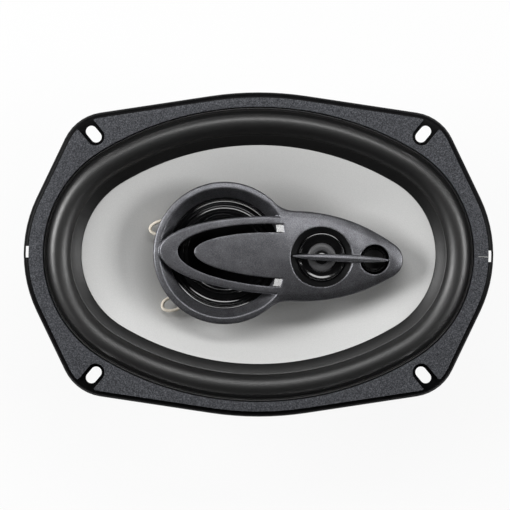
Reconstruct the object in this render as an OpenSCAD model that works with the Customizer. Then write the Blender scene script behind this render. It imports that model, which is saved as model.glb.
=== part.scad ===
// Coaxial car speaker of the 6 by 9 inch class, in millimetres.
// The origin is the centre of the seating plane under the rim. +X runs along the long side and +Z points
// to the listener, so the magnet lies below the seating plane and the pod above it.

/* [Overall] */
// Length over the rolled rim
overall_l = 236; // [226:1:244]
// Width over the rolled rim
overall_w = 163; // [157:1:167]

/* [Cone] */
// Radius of the cone outline at both ends
cone_end_r = 42; // [38:1:45]
// Height of the cone neck above the spider
neck_rise = 8.5; // [7.5:0.5:10]
// Thickness of the cone
cone_t = 0.7; // [0.5:0.1:1]
// How much shallower the cone is half way down than a straight one
cone_flare = 0.12; // [0:0.02:0.2]

/* [Surround] */
// Width of the flat lip glued to the cone
lip_w = 4.8; // [4:0.2:6]
// Width of the half roll
roll_w = 13.8; // [12:0.2:15]
// Thickness of the rubber
rubber_t = 0.6; // [0.5:0.1:0.9]
// Width of the foot glued to the basket
foot_w = 2.8; // [2.4:0.2:3.4]

/* [Flange] */
// Flat land outside the surround foot at both ends
land_end = 4.3; // [3:0.1:6]
// Flat land outside the surround foot at both sides
land_side = 1.8; // [1.5:0.1:4]
// Radius of the flange outline at both ends
flange_end_r = 66; // [62:1:70]
// Height of the rolled rim
rim_h = 4.1; // [3.8:0.1:6]
// Outside radius of the rolled edge
bend_r = 3; // [2.4:0.1:3.4]
// Sheet thickness of the basket
sheet_t = 0.9; // [0.7:0.1:1.2]
// Depth of the ledge for the surround below the flange
ledge_drop = 2.2; // [1.6:0.1:2.6]
// Distance of the screw slots from both ends
slot_in_x = 35.5; // [34:0.5:38]
// Distance of the screw slots from both sides
slot_in_y = 21.2; // [20:0.2:23]
// Width of a screw slot
slot_w = 5.6; // [4.6:0.1:6.4]
// Length of a screw slot
slot_l = 9.3; // [8:0.1:10]
// Direction of the screw slots from the long side
slot_turn = 50; // [40:1:60]
// Radius of the flange corner round each slot
corner_r = 23.6; // [20:0.2:26]
// Distance of the centre of that corner behind the slot along the length
corner_in_x = 6.5; // [5:0.1:8]
// Distance of the centre of that corner behind the slot across the width
corner_in_y = 12.3; // [11:0.1:14]
// Width of the notch in the rim at each end
notch_w = 5.7; // [4:0.1:8]
// Depth of the notch in the rim
notch_d = 3; // [2:0.1:3.2]

/* [Gasket] */
// Height of the gasket above the flange
gasket_t = 3; // [2:0.2:4]
// Radius of the cut-out round each screw slot
gasket_cut_r = 4.5; // [4:0.1:6]

/* [Basket] */
// Inside diameter of the cup under the spider
cup_d = 78; // [74:1:80]
// Depth of the cup under the spider
cup_h = 11.5; // [10.5:0.5:13]
// Width of the ledge for the spider
spider_ledge = 7; // [6:0.5:8]
// Width of a window at the bottom
window_low = 15; // [11:0.5:17]
// Width of a window at the top
window_high = 23; // [18:0.5:23.5]

/* [Motor] */
// Depth from the seating plane to the back of the magnet system
mount_depth = 80; // [79:1:86]
// Diameter of the magnet
magnet_d = 90; // [86:1:100]
// Inside diameter of the magnet
magnet_bore = 44; // [36:1:56]
// Thickness of the magnet
magnet_t = 17; // [16:0.5:18]
// Diameter of the steel plates
plate_d = 84; // [82:1:86]
// Thickness of the top plate
top_plate_t = 5; // [4.5:0.5:6]
// Thickness of the back plate
back_plate_t = 6; // [5.5:0.5:7]
// Diameter of the voice coil former
coil_d = 25.6; // [25:0.1:26.2]
// Thickness of the former
former_t = 0.3; // [0.2:0.05:0.4]
// Thickness of the winding
coil_t = 0.6; // [0.4:0.1:0.8]
// Length of the winding
coil_h = 13; // [11:0.5:14]
// Air gap on each side of the coil
air_gap = 0.45; // [0.35:0.05:0.6]
// Number of spider waves
spider_waves = 5; // [4:1:6]
// Height of the spider waves
spider_amp = 1.6; // [1.2:0.1:2]

/* [Pod] */
// Turn of the pod on its post
pod_turn = -2.5; // [-4:0.5:4]
// Diameter of the midrange rim
mid_rim_d = 71; // [69:0.5:72]
// Diameter of the midrange opening
mid_open_d = 55.4; // [54:0.2:57]
// Distance of the midrange from the post
mid_x = 17; // [16.5:0.1:17.5]
// Half width of the tail at its widest
tail_half_w = 22.8; // [22.4:0.1:23.4]
// Distance of the tip centre from the post
tip_x = 63.2; // [62:0.2:64]
// Radius of the tip
tip_r = 8.75; // [8.6:0.05:9.4]
// Height of the joint between the two shells above the seating plane
pod_split = 3; // [2.8:0.1:3.4]
// Height of the cover at its crown
crown_h = 10; // [9.4:0.1:11]
// Fall of the crown from the middle to its edge
crown_fall = 1.6; // [1:0.1:2.2]
// Wall thickness of the cover
cover_wall = 1.8; // [1.4:0.1:2]
// Thickness of the hood
hood_t = 3; // [2.6:0.1:3.2]
// Distance of the tweeter from the post
tweeter_x = 31.5; // [31:0.1:32]
// Diameter of the tweeter opening
tweeter_open_d = 31; // [30:0.2:32]
// Distance of the super tweeter from the post
super_x = 57.7; // [57.2:0.1:58]
// Diameter of the super tweeter opening
super_open_d = 14.6; // [13.6:0.2:15]
// Thickness of the fin over both tweeters
fin_t = 4.2; // [3:0.1:5]
// Diameter of the post
post_d = 10; // [9:0.5:10.5]

/* [Leads] */
// Diameter of the tinsel leads
lead_d = 1.3; // [1:0.1:1.5]

/* [Hidden] */
$fn = 96;
// Distance between pieces that are glued or laid against each other on curved faces
glue = 0.25;
// Distance kept between pieces that are fitted by hand
fit = 0.15;

// Distances outward from the edge of the cone
roll_in = lip_w;
roll_out = lip_w + roll_w;
foot_out = roll_out + foot_w;
step_off = foot_out + 0.3;
bowl_off = roll_out - 0.8;

// Size of the cone and places of the screw slots inside the overall size
cone_l = overall_l - 2 * (step_off + land_end + bend_r);
cone_w = overall_w - 2 * (step_off + land_side + bend_r);
slot_dx = overall_l - 2 * slot_in_x;
slot_dy = overall_w - 2 * slot_in_y;

// Outline of the cone and of everything that runs parallel to it: two end arcs and two side arcs
oval_c1 = cone_l / 2 - cone_end_r;
oval_rs = (oval_c1 * oval_c1 + cone_w * cone_w / 4 - cone_end_r * cone_end_r) / (cone_w - 2 * cone_end_r);
oval_c2 = oval_rs - cone_w / 2;
oval_turn = atan2(oval_c2, oval_c1);

// Flange outline: end arcs, side arcs and the four corners round the slots, joined by straight lines
flange_a = overall_l / 2;
flange_b = overall_w / 2;
flange_c1 = flange_a - flange_end_r;
flange_rs = (flange_c1 * flange_c1 + flange_b * flange_b - flange_end_r * flange_end_r)
  / (2 * (flange_b - flange_end_r));
flange_c2 = flange_rs - flange_b;
ear = [slot_dx / 2 - corner_in_x, slot_dy / 2 - corner_in_y];
ear_from_end = ear - [flange_c1, 0];
ear_from_side = ear + [0, flange_c2];
end_turn = atan2(ear_from_end[1], ear_from_end[0]) - acos((flange_end_r - corner_r) / norm(ear_from_end));
side_turn = atan2(ear_from_side[1], ear_from_side[0]) + acos((flange_rs - corner_r) / norm(ear_from_side));
notch_left_y = 1.4;
notch_right_y = -0.9;

// Heights
ledge_z = rim_h - ledge_drop;
pan_low = -(mount_depth - back_plate_t - magnet_t - top_plate_t);
pan_top = pan_low + sheet_t;
spider_z = pan_top + cup_h;
neck_z = spider_z + neck_rise;
cone_depth = ledge_z - neck_z;
top_plate_low = pan_low - top_plate_t;
back_top = -mount_depth + back_plate_t;
pole_top = pan_top + 0.2;
wall_top = -5;

// Radii in the motor
former_r = coil_d / 2;
former_in = former_r - former_t;
pole_r = former_in - air_gap;
gap_r = former_r + coil_t + air_gap;
neck_r = former_r + glue;
stud_r = 3;
nut_flat = 10;
nut_h = 4.8;
nut_well_r = 7.5;
well_z = -mount_depth + nut_h + 0.5;
rivet_pitch_r = 30;
rivet_r = 1.8;

// Spider
cup_r = cup_d / 2;
spider_in = former_r + glue;
spider_out = cup_r + spider_ledge - 1.2;
spider_t = 0.5;

// Pod
mid_c = [-mid_x, 0];
mid_rim_r = mid_rim_d / 2;
mid_open_r = mid_open_d / 2;
tail_x = 12;
tail_dx = tip_x - tail_x;
tail_r = (tail_dx * tail_dx + tail_half_w * tail_half_w - tip_r * tip_r) / (2 * (tail_half_w - tip_r));
tail_end = tail_x + tail_r * tail_dx / (tail_r - tip_r);
tip_end = tip_x + tip_r;
crown_z = pod_split + crown_h;
hood_c = 12;
hood_a = mid_x - 3 + mid_rim_r + hood_c;
hood_b = 19.4;
slot_out = [52.2, 15.5];
slot_in = [44, 11.4];
slot_end = hood_c - 2.9;
slot_ramp = 1.4;
base_low = pod_split - 2.2;
base_floor = base_low + 1.4;
fillet_r = 15;
fillet_y = tail_half_w + fillet_r;
fillet_x = -mid_x + sqrt(pow(mid_rim_r + fillet_r, 2) - fillet_y * fillet_y);
ring_top = pod_split + 6.9;
funnel_low = pod_split + 1.7;
screw_spots = [[21, 17], [21, -17], [47.5, 9.5], [47.5, -9.5]];
screw_head_r = 2.4;
post_r = post_d / 2;
boss_r = 6.8;
post_top = -17;
spigot_r = 3.4;
spigot_top = -12.5;

// Midrange driver
mid_seat = pod_split - 1.8;
mid_flange_r = 31;
mid_body_r = 24.5;
mid_floor_r = 12.5;
mid_floor_z = mid_seat - 8.2;
mid_roll_r = 1.9;
mid_cone_r = mid_open_r - 7.8;
mid_neck_r = 6.7;
mid_plate_r = 10;

// Tweeters
tweeter_r = 12.2;
tweeter_seat = base_floor + 0.1;
tweeter_top = pod_split + 4.4;
super_r = 7;
super_top = pod_split + 2.4;
cap_r = 2.4;
cap_l = 12;
cap_x = 25.5;
cap_y = 15.6;

// Leads, with routes from the cone to the pod and from the terminals to the cone
lead_r = lead_d / 2;
eyelet_upper = [-38, 16];
eyelet_lower = [-36, -17];
eyelet_r = 1.2;
terminal_turn = 231.5;
terminal_gap = 17;
board_t = 1.6;
blade_t = 0.8;

// Small helpers
function lerp(a, b, t) = a + (b - a) * t;
function polar(r, t) = [r * cos(t), r * sin(t)];
function angle_of(p) = atan2(p[1], p[0]);
function arc(c, r, from, to, n) = [for (i = [0 : n]) c + polar(r, lerp(from, to, i / n))];
function between(p, q, n) = [for (i = [1 : n]) lerp(p, q, i / (n + 1))];
function raise(points, z) = [for (p = points) [p[0], p[1], z]];
function smooth(t) = let (u = max(0, min(1, t))) u * u * (3 - 2 * u);

// A full loop from the points of one quarter, which start on +X and end on +Y
function loop4(q) = let (m = len(q)) concat(
  q,
  [for (i = [m - 2 : -1 : 0]) [-q[i][0], q[i][1]]],
  [for (i = [1 : m - 1]) -q[i]],
  [for (i = [m - 2 : -1 : 1]) [q[i][0], -q[i][1]]]
);

// Flange outline moved outward by off
function outline_quarter(off) =
  let (
    tip = arc([flange_c1, 0], flange_end_r + off, 0, end_turn, 6),
    corner = arc(ear, corner_r + off, end_turn, side_turn, 7),
    side = arc([0, -flange_c2], flange_rs + off, side_turn, 90, 4)
  )
  concat(tip, between(tip[6], corner[0], 3), corner, between(corner[7], side[0], 4), side);
function outline(off) = loop4(outline_quarter(off));

// Oval of the cone family moved outward by off: as points, and as the reach from the centre at an angle
function oval(off, n_end = 12, n_side = 10) = loop4(concat(
  arc([oval_c1, 0], cone_end_r + off, 0, oval_turn, n_end),
  [for (i = [1 : n_side]) [0, -oval_c2] + polar(oval_rs + off, lerp(oval_turn, 90, i / n_side))]
));
function oval_reach(off, t) =
  let (
    u = abs(cos(t)),
    v = abs(sin(t)),
    joint = [oval_c1, 0] + polar(cone_end_r + off, oval_turn)
  )
  v * joint[0] <= u * joint[1]
    ? oval_c1 * u + sqrt(pow(cone_end_r + off, 2) - pow(oval_c1 * v, 2))
    : sqrt(pow(oval_rs + off, 2) - pow(oval_c2 * u, 2)) - oval_c2 * v;

// Height of the front of the cone at a point
function cone_drop(t) = cone_depth * (t - cone_flare * 4 * t * (1 - t) / 4);
function cone_z(p) =
  let (t = angle_of(p), edge = oval_reach(0, t))
  ledge_z - cone_drop((edge - norm(p)) / (edge - neck_r));
function cone_normal(p) =
  let (
    d = 0.5,
    sx = (cone_z(p + [d, 0]) - cone_z(p - [d, 0])) / (2 * d),
    sy = (cone_z(p + [0, d]) - cone_z(p - [0, d])) / (2 * d),
    n = [-sx, -sy, 1]
  )
  n / norm(n);

// A closed skin through rings of equal point counts; the last ring joins the first
module ring_loft(rings) {
  m = len(rings);
  n = len(rings[0]);
  polyhedron(
    points = [for (r = rings) for (p = r) p],
    faces = [for (i = [0 : m - 1]) for (k = [0 : n - 1]) for (half = [0, 1])
      let (j = (i + 1) % m, l = (k + 1) % n)
      half == 0 ? [i * n + k, j * n + l, i * n + l] : [i * n + k, j * n + k, j * n + l]],
    convexity = 8
  );
}

// A closed skin through sections of equal point counts, with flat ends
module section_loft(sections) {
  m = len(sections);
  n = len(sections[0]);
  polyhedron(
    points = [for (s = sections) for (p = s) p],
    faces = concat(
      [[for (k = [0 : n - 1]) k]],
      [[for (k = [n - 1 : -1 : 0]) (m - 1) * n + k]],
      [for (i = [0 : m - 2]) for (k = [0 : n - 1]) for (half = [0, 1])
        let (l = (k + 1) % n)
        half == 0
          ? [i * n + k, (i + 1) * n + l, i * n + l]
          : [i * n + k, (i + 1) * n + k, (i + 1) * n + l]]
    ),
    convexity = 6
  );
}

// A round lead along a route: a smooth curve through the points, straight at both ends
function curve_at(p, i, t) =
  let (
    a = p[max(i - 1, 0)],
    b = p[i],
    c = p[i + 1],
    d = p[min(i + 2, len(p) - 1)]
  )
  0.5 * (2 * b + (c - a) * t + (2 * a - 5 * b + 4 * c - d) * t * t + (3 * b - 3 * c + d - a) * t * t * t);
function curve(p, n) = concat(
  [for (i = [0 : len(p) - 2]) for (k = [0 : n - 1]) curve_at(p, i, k / n)],
  [p[len(p) - 1]]
);
function unit(v) = v / norm(v);
function heading(q, i) = unit(q[min(i + 1, len(q) - 1)] - q[max(i - 1, 0)]);
function square_to(v, h) = unit(v - h * (v * h));
module lead(route, steps) {
  q = curve(route, steps);
  m = len(q);
  start = square_to([0.31, 0.52, 0.8], heading(q, 0));
  side = [for (i = 0, v = start; i < m; i = i + 1, v = square_to(v, heading(q, min(i, m - 1)))) v];
  section_loft([for (i = [0 : m - 1])
    [for (k = [0 : 7]) q[i] + lead_r * (side[i] * cos(45 * k) + cross(heading(q, i), side[i]) * sin(45 * k))]]);
}

module at_slots() {
  for (sx = [-1, 1], sy = [-1, 1])
    translate([sx * slot_dx / 2, sy * slot_dy / 2, 0])
      rotate([0, 0, atan2(sy * sin(slot_turn), sx * cos(slot_turn))])
        children();
}

// Basket: rolled rim, flange with ledge, bowl with windows, spider ledge, cup and pan
pan_hole_r = gap_r + 6;
collar_in = cup_r + spider_ledge;
collar_out = collar_in + 1.6;
bowl_low_z = spider_z + 1.4;
tilt_r = 0.5 * sheet_t / 0.9;
tilt_z = 0.8 * sheet_t / 0.9;
rim_angles = [for (p = outline(0)) angle_of(p)];
bowl_levels = [[0, wall_top], [0.2, lerp(wall_top, bowl_low_z, 0.27)], [0.55, lerp(wall_top, bowl_low_z, 0.63)],
  [1, bowl_low_z]];
function oval_ring(off, z) = [for (t = rim_angles) concat(polar(oval_reach(off, t), t), [z])];
function bowl_ring(f, z, out) =
  [for (t = rim_angles) concat(polar(lerp(oval_reach(bowl_off - 1.5, t), collar_in + 0.3, f) + out, t), [z])];
module basket_skin() {
  ring_loft(concat(
    [raise(outline(0), 0)],
    [for (i = [0 : 5]) raise(outline(bend_r * (cos(18 * i) - 1)), rim_h + bend_r * (sin(18 * i) - 1))],
    [oval_ring(step_off + 0.2, rim_h), oval_ring(step_off, ledge_z), oval_ring(bowl_off, ledge_z)],
    [for (b = bowl_levels) bowl_ring(b[0], b[1], 0)],
    [for (i = [3 : -1 : 0]) bowl_ring(bowl_levels[i][0], bowl_levels[i][1] - tilt_z, tilt_r + (i == 0 ? 0.3 : 0))],
    [oval_ring(bowl_off + sheet_t, ledge_z - sheet_t), oval_ring(step_off + sheet_t * 0.9, ledge_z - sheet_t)],
    [oval_ring(step_off + 0.2 + sheet_t * 0.9, rim_h - sheet_t)],
    [for (i = [5 : -1 : 0])
      raise(outline((bend_r - sheet_t) * cos(18 * i) - bend_r), rim_h - bend_r + (bend_r - sheet_t) * sin(18 * i))],
    [raise(outline(-sheet_t), 0)]
  ));
}
module window_cut(t) {
  low = bowl_low_z + 4;
  high = wall_top - 4;
  rotate([0, 0, t])
    translate([collar_in - 6, 0, 0])
      rotate([90, 0, 90])
        linear_extrude(90)
          polygon([[-window_low / 2, low], [window_low / 2, low], [window_high / 2, high - 3],
            [window_high / 2 - 3, high], [3 - window_high / 2, high], [-window_high / 2, high - 3]]);
}
module slot_hole(h) {
  for (s = [-1, 1])
    translate([s * (slot_l - slot_w) / 2, 0, 0])
      cylinder(d = slot_w, h = h);
  translate([-(slot_l - slot_w) / 2, -slot_w / 2, 0])
    cube([slot_l - slot_w, slot_w, h]);
}
module basket() {
  color([0.05, 0.05, 0.06])
    difference() {
      union() {
        basket_skin();
        rotate_extrude()
          polygon([
            [pan_hole_r, pan_low], [cup_r + sheet_t, pan_low], [cup_r + sheet_t, spider_z - sheet_t],
            [collar_out, spider_z - sheet_t], [collar_out, bowl_low_z + 0.8], [collar_in, bowl_low_z + 0.8],
            [collar_in, spider_z], [cup_r, spider_z], [cup_r, pan_top], [pan_hole_r, pan_top]
          ]);
        rotate([0, 0, terminal_turn])
          translate([cup_r + 2, -4.5, spider_z - sheet_t])
            cube([20, 9, sheet_t]);
      }
      for (t = [0, 35, 68, 112, 145, 180, 215, 248, 292, 325])
        window_cut(t);
      translate([0, 0, -1])
        at_slots()
          slot_hole(rim_h + 2);
      translate([-flange_a - 1, notch_left_y - notch_w / 2, rim_h - bend_r + 0.2])
        cube([notch_d + 1, notch_w, bend_r + 1]);
      translate([flange_a - notch_d, notch_right_y - notch_w / 2, rim_h - bend_r + 0.2])
        cube([notch_d + 1, notch_w, bend_r + 1]);
      for (k = [0 : 3])
        rotate([0, 0, 45 + 90 * k])
          translate([rivet_pitch_r, 0, pan_low - 1])
            cylinder(r = rivet_r + fit, h = sheet_t + 2);
      rotate([0, 0, terminal_turn])
        translate([cup_r + 15, 0, spider_z - 2])
          cylinder(r = 1.5 + fit, h = 4);
    }
}

// Fibre gasket with a rib that presses the surround foot onto the ledge
module gasket() {
  color([0.3, 0.31, 0.33])
    difference() {
      union() {
        translate([0, 0, rim_h])
          linear_extrude(gasket_t)
            difference() {
              polygon(outline(-bend_r - 0.2));
              polygon(oval(roll_out + 0.2));
            }
        translate([0, 0, ledge_z + rubber_t])
          linear_extrude(ledge_drop - rubber_t + 0.5)
            difference() {
              polygon(oval(step_off - 0.4));
              polygon(oval(roll_out + 0.2));
            }
      }
      translate([0, 0, rim_h - 0.01])
        at_slots()
          translate([(slot_w - slot_l) / 2, 0, 0]) {
            cylinder(r = gasket_cut_r, h = gasket_t + 1);
            translate([0, -gasket_cut_r, 0])
              cube([24, 2 * gasket_cut_r, gasket_t + 1]);
          }
    }
}

// Rubber surround: one profile of foot, half roll and lip, carried round the oval
roll_c = roll_in + roll_w / 2;
roll_r = roll_w / 2;
roll_foot = asin(rubber_t / roll_r);
surround_profile = concat(
  [[foot_out, 0], [foot_out, rubber_t]],
  arc([roll_c, 0], roll_r, roll_foot, 180 - roll_foot, 9),
  [[0, rubber_t], [0, 0]],
  arc([roll_c, 0], roll_r - rubber_t, 180, 0, 7)
);
module surround() {
  color([0.12, 0.12, 0.13])
    ring_loft([for (p = surround_profile) raise(oval(p[0], 10, 8), ledge_z + p[1])]);
}

// Cone: flat edge under the lip, oval mouth drawn down to a round neck with a collar
cone_steps = 7;
cone_round = oval(0, 10, 8);
function cone_ring(t, low) = [for (p = cone_round)
  concat(lerp(p, neck_r * unit(p), t), [ledge_z - cone_drop(t) - low])];
module cone() {
  edge = oval(lip_w - 0.8, 10, 8);
  collar = neck_r * [for (p = cone_round) unit(p)];
  color([0.75, 0.75, 0.74])
    difference() {
      ring_loft(concat(
        [raise(edge, ledge_z)],
        [for (i = [0 : cone_steps]) cone_ring(i / cone_steps, 0)],
        [raise(collar, neck_z - 2.6)],
        [raise([for (p = collar) p * (neck_r + cone_t) / neck_r], neck_z - 2.6)],
        [[for (p = cone_ring(1, cone_t * 1.25)) [p[0] * (neck_r + cone_t) / neck_r,
          p[1] * (neck_r + cone_t) / neck_r, p[2]]]],
        [for (i = [cone_steps - 1 : -1 : 0]) cone_ring(i / cone_steps, cone_t * 1.25)],
        [raise(edge, ledge_z - cone_t)]
      ));
      for (e = [eyelet_upper, eyelet_lower])
        on_cone(e)
          translate([0, 0, -3])
            cylinder(r = eyelet_r + fit, h = 6);
    }
}

// Places its children on the front of the cone, with z along the normal
module on_cone(p) {
  n = cone_normal(p);
  translate([p[0], p[1], cone_z(p)])
    rotate([0, acos(n[2]), atan2(n[1], n[0])])
      children();
}

module lead_eyelets() {
  color([0.72, 0.6, 0.35])
    for (e = [eyelet_upper, eyelet_lower])
      on_cone(e)
        rotate_extrude()
          polygon([[0, -cone_t - 0.9], [2, -cone_t - 0.9], [2, -cone_t - 0.35], [eyelet_r, -cone_t - 0.35],
            [eyelet_r, 0.3], [2, 0.3], [2, 0.8], [1.2, 1.3], [0, 1.3]]);
}

module voice_coil_former() {
  low = top_plate_low + top_plate_t / 2 - coil_h / 2 - 0.6;
  color([0.55, 0.45, 0.3])
    translate([0, 0, low])
      difference() {
        cylinder(r = former_r, h = neck_z + 2 - low);
        translate([0, 0, -1])
          cylinder(r = former_in, h = neck_z + 4 - low);
      }
}

module voice_coil() {
  color([0.72, 0.4, 0.2])
    translate([0, 0, top_plate_low + top_plate_t / 2 - coil_h / 2])
      difference() {
        cylinder(r = former_r + coil_t, h = coil_h);
        translate([0, 0, -1])
          cylinder(r = former_r, h = coil_h + 2);
      }
}

// Spider: collar on the former, waves, flat foot on the ledge
module spider() {
  flat_in = cup_r - 1;
  first = spider_in + 2;
  n = spider_waves * 8;
  mid_z = spider_z + spider_t / 2;
  path = concat(
    [for (i = [0 : n]) [lerp(first, flat_in, i / n), mid_z + spider_amp * sin(360 * spider_waves * i / n)]],
    [[spider_out, mid_z]]
  );
  color([0.75, 0.62, 0.3])
    rotate_extrude()
      polygon(concat(
        [[spider_in, mid_z - 1.5], [spider_in + spider_t, mid_z - 1.5], [spider_in + spider_t, mid_z - spider_t / 2]],
        [for (p = path) p - [0, spider_t / 2]],
        [for (i = [len(path) - 1 : -1 : 0]) path[i] + [0, spider_t / 2]],
        [[spider_in, mid_z + spider_t / 2]]
      ));
}

module dust_seal() {
  color([0.1, 0.1, 0.1])
    translate([0, 0, neck_z])
      difference() {
        cylinder(r = former_in, h = 1);
        translate([0, 0, -1])
          cylinder(r = post_r + 1.2, h = 3);
      }
}

module top_plate() {
  color([0.7, 0.7, 0.72])
    difference() {
      translate([0, 0, top_plate_low])
        cylinder(d = plate_d, h = top_plate_t);
      translate([0, 0, top_plate_low - 1])
        cylinder(r = gap_r, h = top_plate_t + 2);
      for (k = [0 : 3])
        rotate([0, 0, 45 + 90 * k])
          translate([rivet_pitch_r, 0, pan_low - 3.4])
            cylinder(r = rivet_r + fit, h = 4);
    }
}

module magnet() {
  color([0.16, 0.16, 0.17])
    translate([0, 0, back_top])
      difference() {
        cylinder(d = magnet_d, h = magnet_t);
        translate([0, 0, -1])
          cylinder(d = magnet_bore, h = magnet_t + 2);
      }
}

// Back plate and pole in one turning, bored for the post, with a well for its nut
module back_plate() {
  color([0.7, 0.7, 0.72])
    rotate_extrude()
      polygon([
        [stud_r + fit, well_z], [nut_well_r, well_z], [nut_well_r, -mount_depth], [plate_d / 2 - 1, -mount_depth],
        [plate_d / 2, -mount_depth + 1], [plate_d / 2, back_top], [pole_r, back_top], [pole_r, pole_top],
        [stud_r + fit, pole_top]
      ]);
}

module frame_rivets() {
  color([0.75, 0.75, 0.76])
    for (k = [0 : 3])
      rotate([0, 0, 45 + 90 * k])
        translate([rivet_pitch_r, 0, 0])
          rotate_extrude()
            polygon([[0, pan_low - 3.2], [rivet_r, pan_low - 3.2], [rivet_r, pan_top], [3.2, pan_top],
              [2.6, pan_top + 1.1], [1.2, pan_top + 1.5], [0, pan_top + 1.5]]);
}

// Post: threaded stud through the pole, shoulder on the pole, spigot in the pod
module centre_post() {
  color([0.62, 0.62, 0.64])
    rotate_extrude()
      polygon([
        [0, -mount_depth + 0.6], [stud_r, -mount_depth + 0.6], [stud_r, pole_top], [post_r + 1.5, pole_top],
        [post_r + 1.5, pole_top + 2], [post_r, pole_top + 3], [post_r, post_top - 3], [post_r + 0.8, post_top - 2],
        [post_r + 0.8, post_top], [spigot_r, post_top], [spigot_r, spigot_top - 0.5],
        [spigot_r - 0.5, spigot_top], [0, spigot_top]
      ]);
}

module post_nut() {
  color([0.75, 0.72, 0.55])
    translate([0, 0, well_z - nut_h])
      difference() {
        cylinder(d = nut_flat / cos(30), h = nut_h, $fn = 6);
        translate([0, 0, -1])
          cylinder(r = stud_r + 0.05, h = nut_h + 2);
      }
}

// Plan of the pod: half width of the tail, and of the hood before it
function tail_half(x) =
  x <= tail_x ? tail_half_w
  : x <= tail_end ? sqrt(tail_r * tail_r - pow(x - tail_x, 2)) - tail_r + tail_half_w
  : sqrt(max(0, tip_r * tip_r - pow(x - tip_x, 2)));
function hood_half(x) = hood_b * sqrt(max(0, 1 - pow((hood_c - x) / hood_a, 2)));
function pod_half(x) = lerp(hood_half(min(x, hood_c)), tail_half(x), smooth((x - 4) / 12));
function crown(x) = crown_z - (x > hood_c ? 2.6 : 1.5) * pow((x - hood_c) / 60, 2);
function half_ellipse(s, n) =
  [for (i = [0 : n]) [hood_c - s[0] * cos(lerp(-90, 90, i / n)), s[1] * sin(lerp(-90, 90, i / n))]];
function tail_points(off) = [for (i = [0 : 20])
  let (x = lerp(0, tip_end, sin(4.5 * i))) [x + (i == 20 ? off : 0), max(tail_half(x) + off, 0.3)]];
module tail_plan(off) {
  p = tail_points(off);
  polygon(concat(p, [for (i = [20 : -1 : 0]) [p[i][0], -p[i][1]]]));
}
module neck_plan() {
  touch = mid_c + mid_rim_r * unit([fillet_x, fillet_y] - mid_c);
  for (s = [-1, 1])
    difference() {
      polygon([[touch[0], s * touch[1]], [fillet_x, s * fillet_y], [fillet_x, s * (tail_half_w - 2)],
        [touch[0] - 4, s * (tail_half_w - 2)]]);
      translate([fillet_x, s * fillet_y])
        circle(r = fillet_r + 0.08);
      translate(mid_c)
        circle(r = mid_rim_r - 1);
    }
}

// One cross-section of the cover: wall, rounded shoulder and crown
function section(x, w, top, fall, r, low) =
  let (
    e = w - r,
    ze = top - fall * pow(e / w, 2),
    half = concat(
      [[w, low], [w, ze - r]],
      [for (a = [30, 60]) [e + r * cos(a), ze - r + r * sin(a)]],
      [for (v = [1, 0.7, 0.35]) [e * v, top - fall * pow(e * v / w, 2)]]
    )
  )
  concat(
    [for (p = half) [x, p[0], p[1]]],
    [[x, 0, top]],
    [for (i = [len(half) - 1 : -1 : 0]) [x, -half[i][0], half[i][1]]]
  );
cover_stations = concat(
  [for (i = [0 : 9]) lerp(hood_c, hood_c - hood_a, sin(9 + 9 * (9 - i)))],
  [4, 8, 12],
  [for (i = [1 : 12]) lerp(12, tip_end - 0.1, sin(7.5 * i))]
);
module cover_outside() {
  section_loft([for (x = cover_stations)
    let (w = max(pod_half(x), 0.8), s = smooth((x - 4) / 12))
    section(x, w, crown(x), crown_fall, min(w * 0.5, lerp(1, 2.4, s)), pod_split)]);
}
module cover_inside() {
  section_loft([for (x = concat([hood_c - hood_a - 4], cover_stations))
    let (s = smooth((x - 9) / 6), w = pod_half(x), inner = lerp(w + 5, max(w - cover_wall, 0.4), s))
    if (x < tip_end - cover_wall)
      section(x, inner, crown(x) - lerp(hood_t, cover_wall, s), crown_fall, min(inner * 0.5, 1), pod_split - 2)]);
}

// Cover of the pod: tail and hood as one crowned shell, the midrange rim, and the fin over both tweeters
module pod_cover() {
  color([0.17, 0.17, 0.18])
    rotate([0, 0, pod_turn]) {
      difference() {
        union() {
          difference() {
            cover_outside();
            difference() {
              cover_inside();
              translate([tweeter_x, 0, tweeter_top + 0.3])
                cylinder(r = tweeter_open_d / 2 + 1.4, h = 20);
              translate([super_x, 0, super_top])
                cylinder(r = super_open_d / 2 + 1.4, h = 20);
              for (p = screw_spots)
                translate([p[0], p[1], pod_split])
                  cylinder(r = 2.6, h = 20);
            }
          }
          mid_rim();
          translate([0, 0, pod_split])
            linear_extrude(ring_top - pod_split - 1.2)
              neck_plan();
        }
        translate([0, 0, pod_split])
          linear_extrude(30)
            hood_slot();
        slot_ends();
        translate([tweeter_x, 0, 0])
          rotate_extrude()
            polygon([[0, 0], [tweeter_r + fit, 0], [tweeter_r + fit, tweeter_top + 0.8],
              [tweeter_open_d / 2, crown_z - 0.8], [tweeter_open_d / 2, crown_z + 4], [0, crown_z + 4]]);
        translate([super_x, 0, 0])
          cylinder(d = super_open_d, h = 30);
        for (p = screw_spots)
          translate([p[0], p[1], 0])
            cylinder(r = 1.2 + fit, h = pod_split + 5);
      }
      fin();
    }
}
module hood_slot() {
  a = half_ellipse(slot_out, 28);
  b = half_ellipse(slot_in, 28);
  difference() {
    polygon(a);
    polygon(b);
    translate([slot_end, -30])
      square([10, 60]);
  }
}
module slot_ends() {
  low = crown_z - hood_t;
  high = crown_z + 2;
  wide = slot_out[1] - slot_in[1] + 0.2;
  for (y = [slot_out[1] + 0.1, 0.1 - slot_in[1]])
    translate([0, y, 0])
      rotate([90, 0, 0])
        linear_extrude(wide)
          polygon([[slot_end - 0.3, low], [slot_end, low], [slot_end + slot_ramp * (high - low), high], [slot_end - 0.3, high]]);
}
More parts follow.
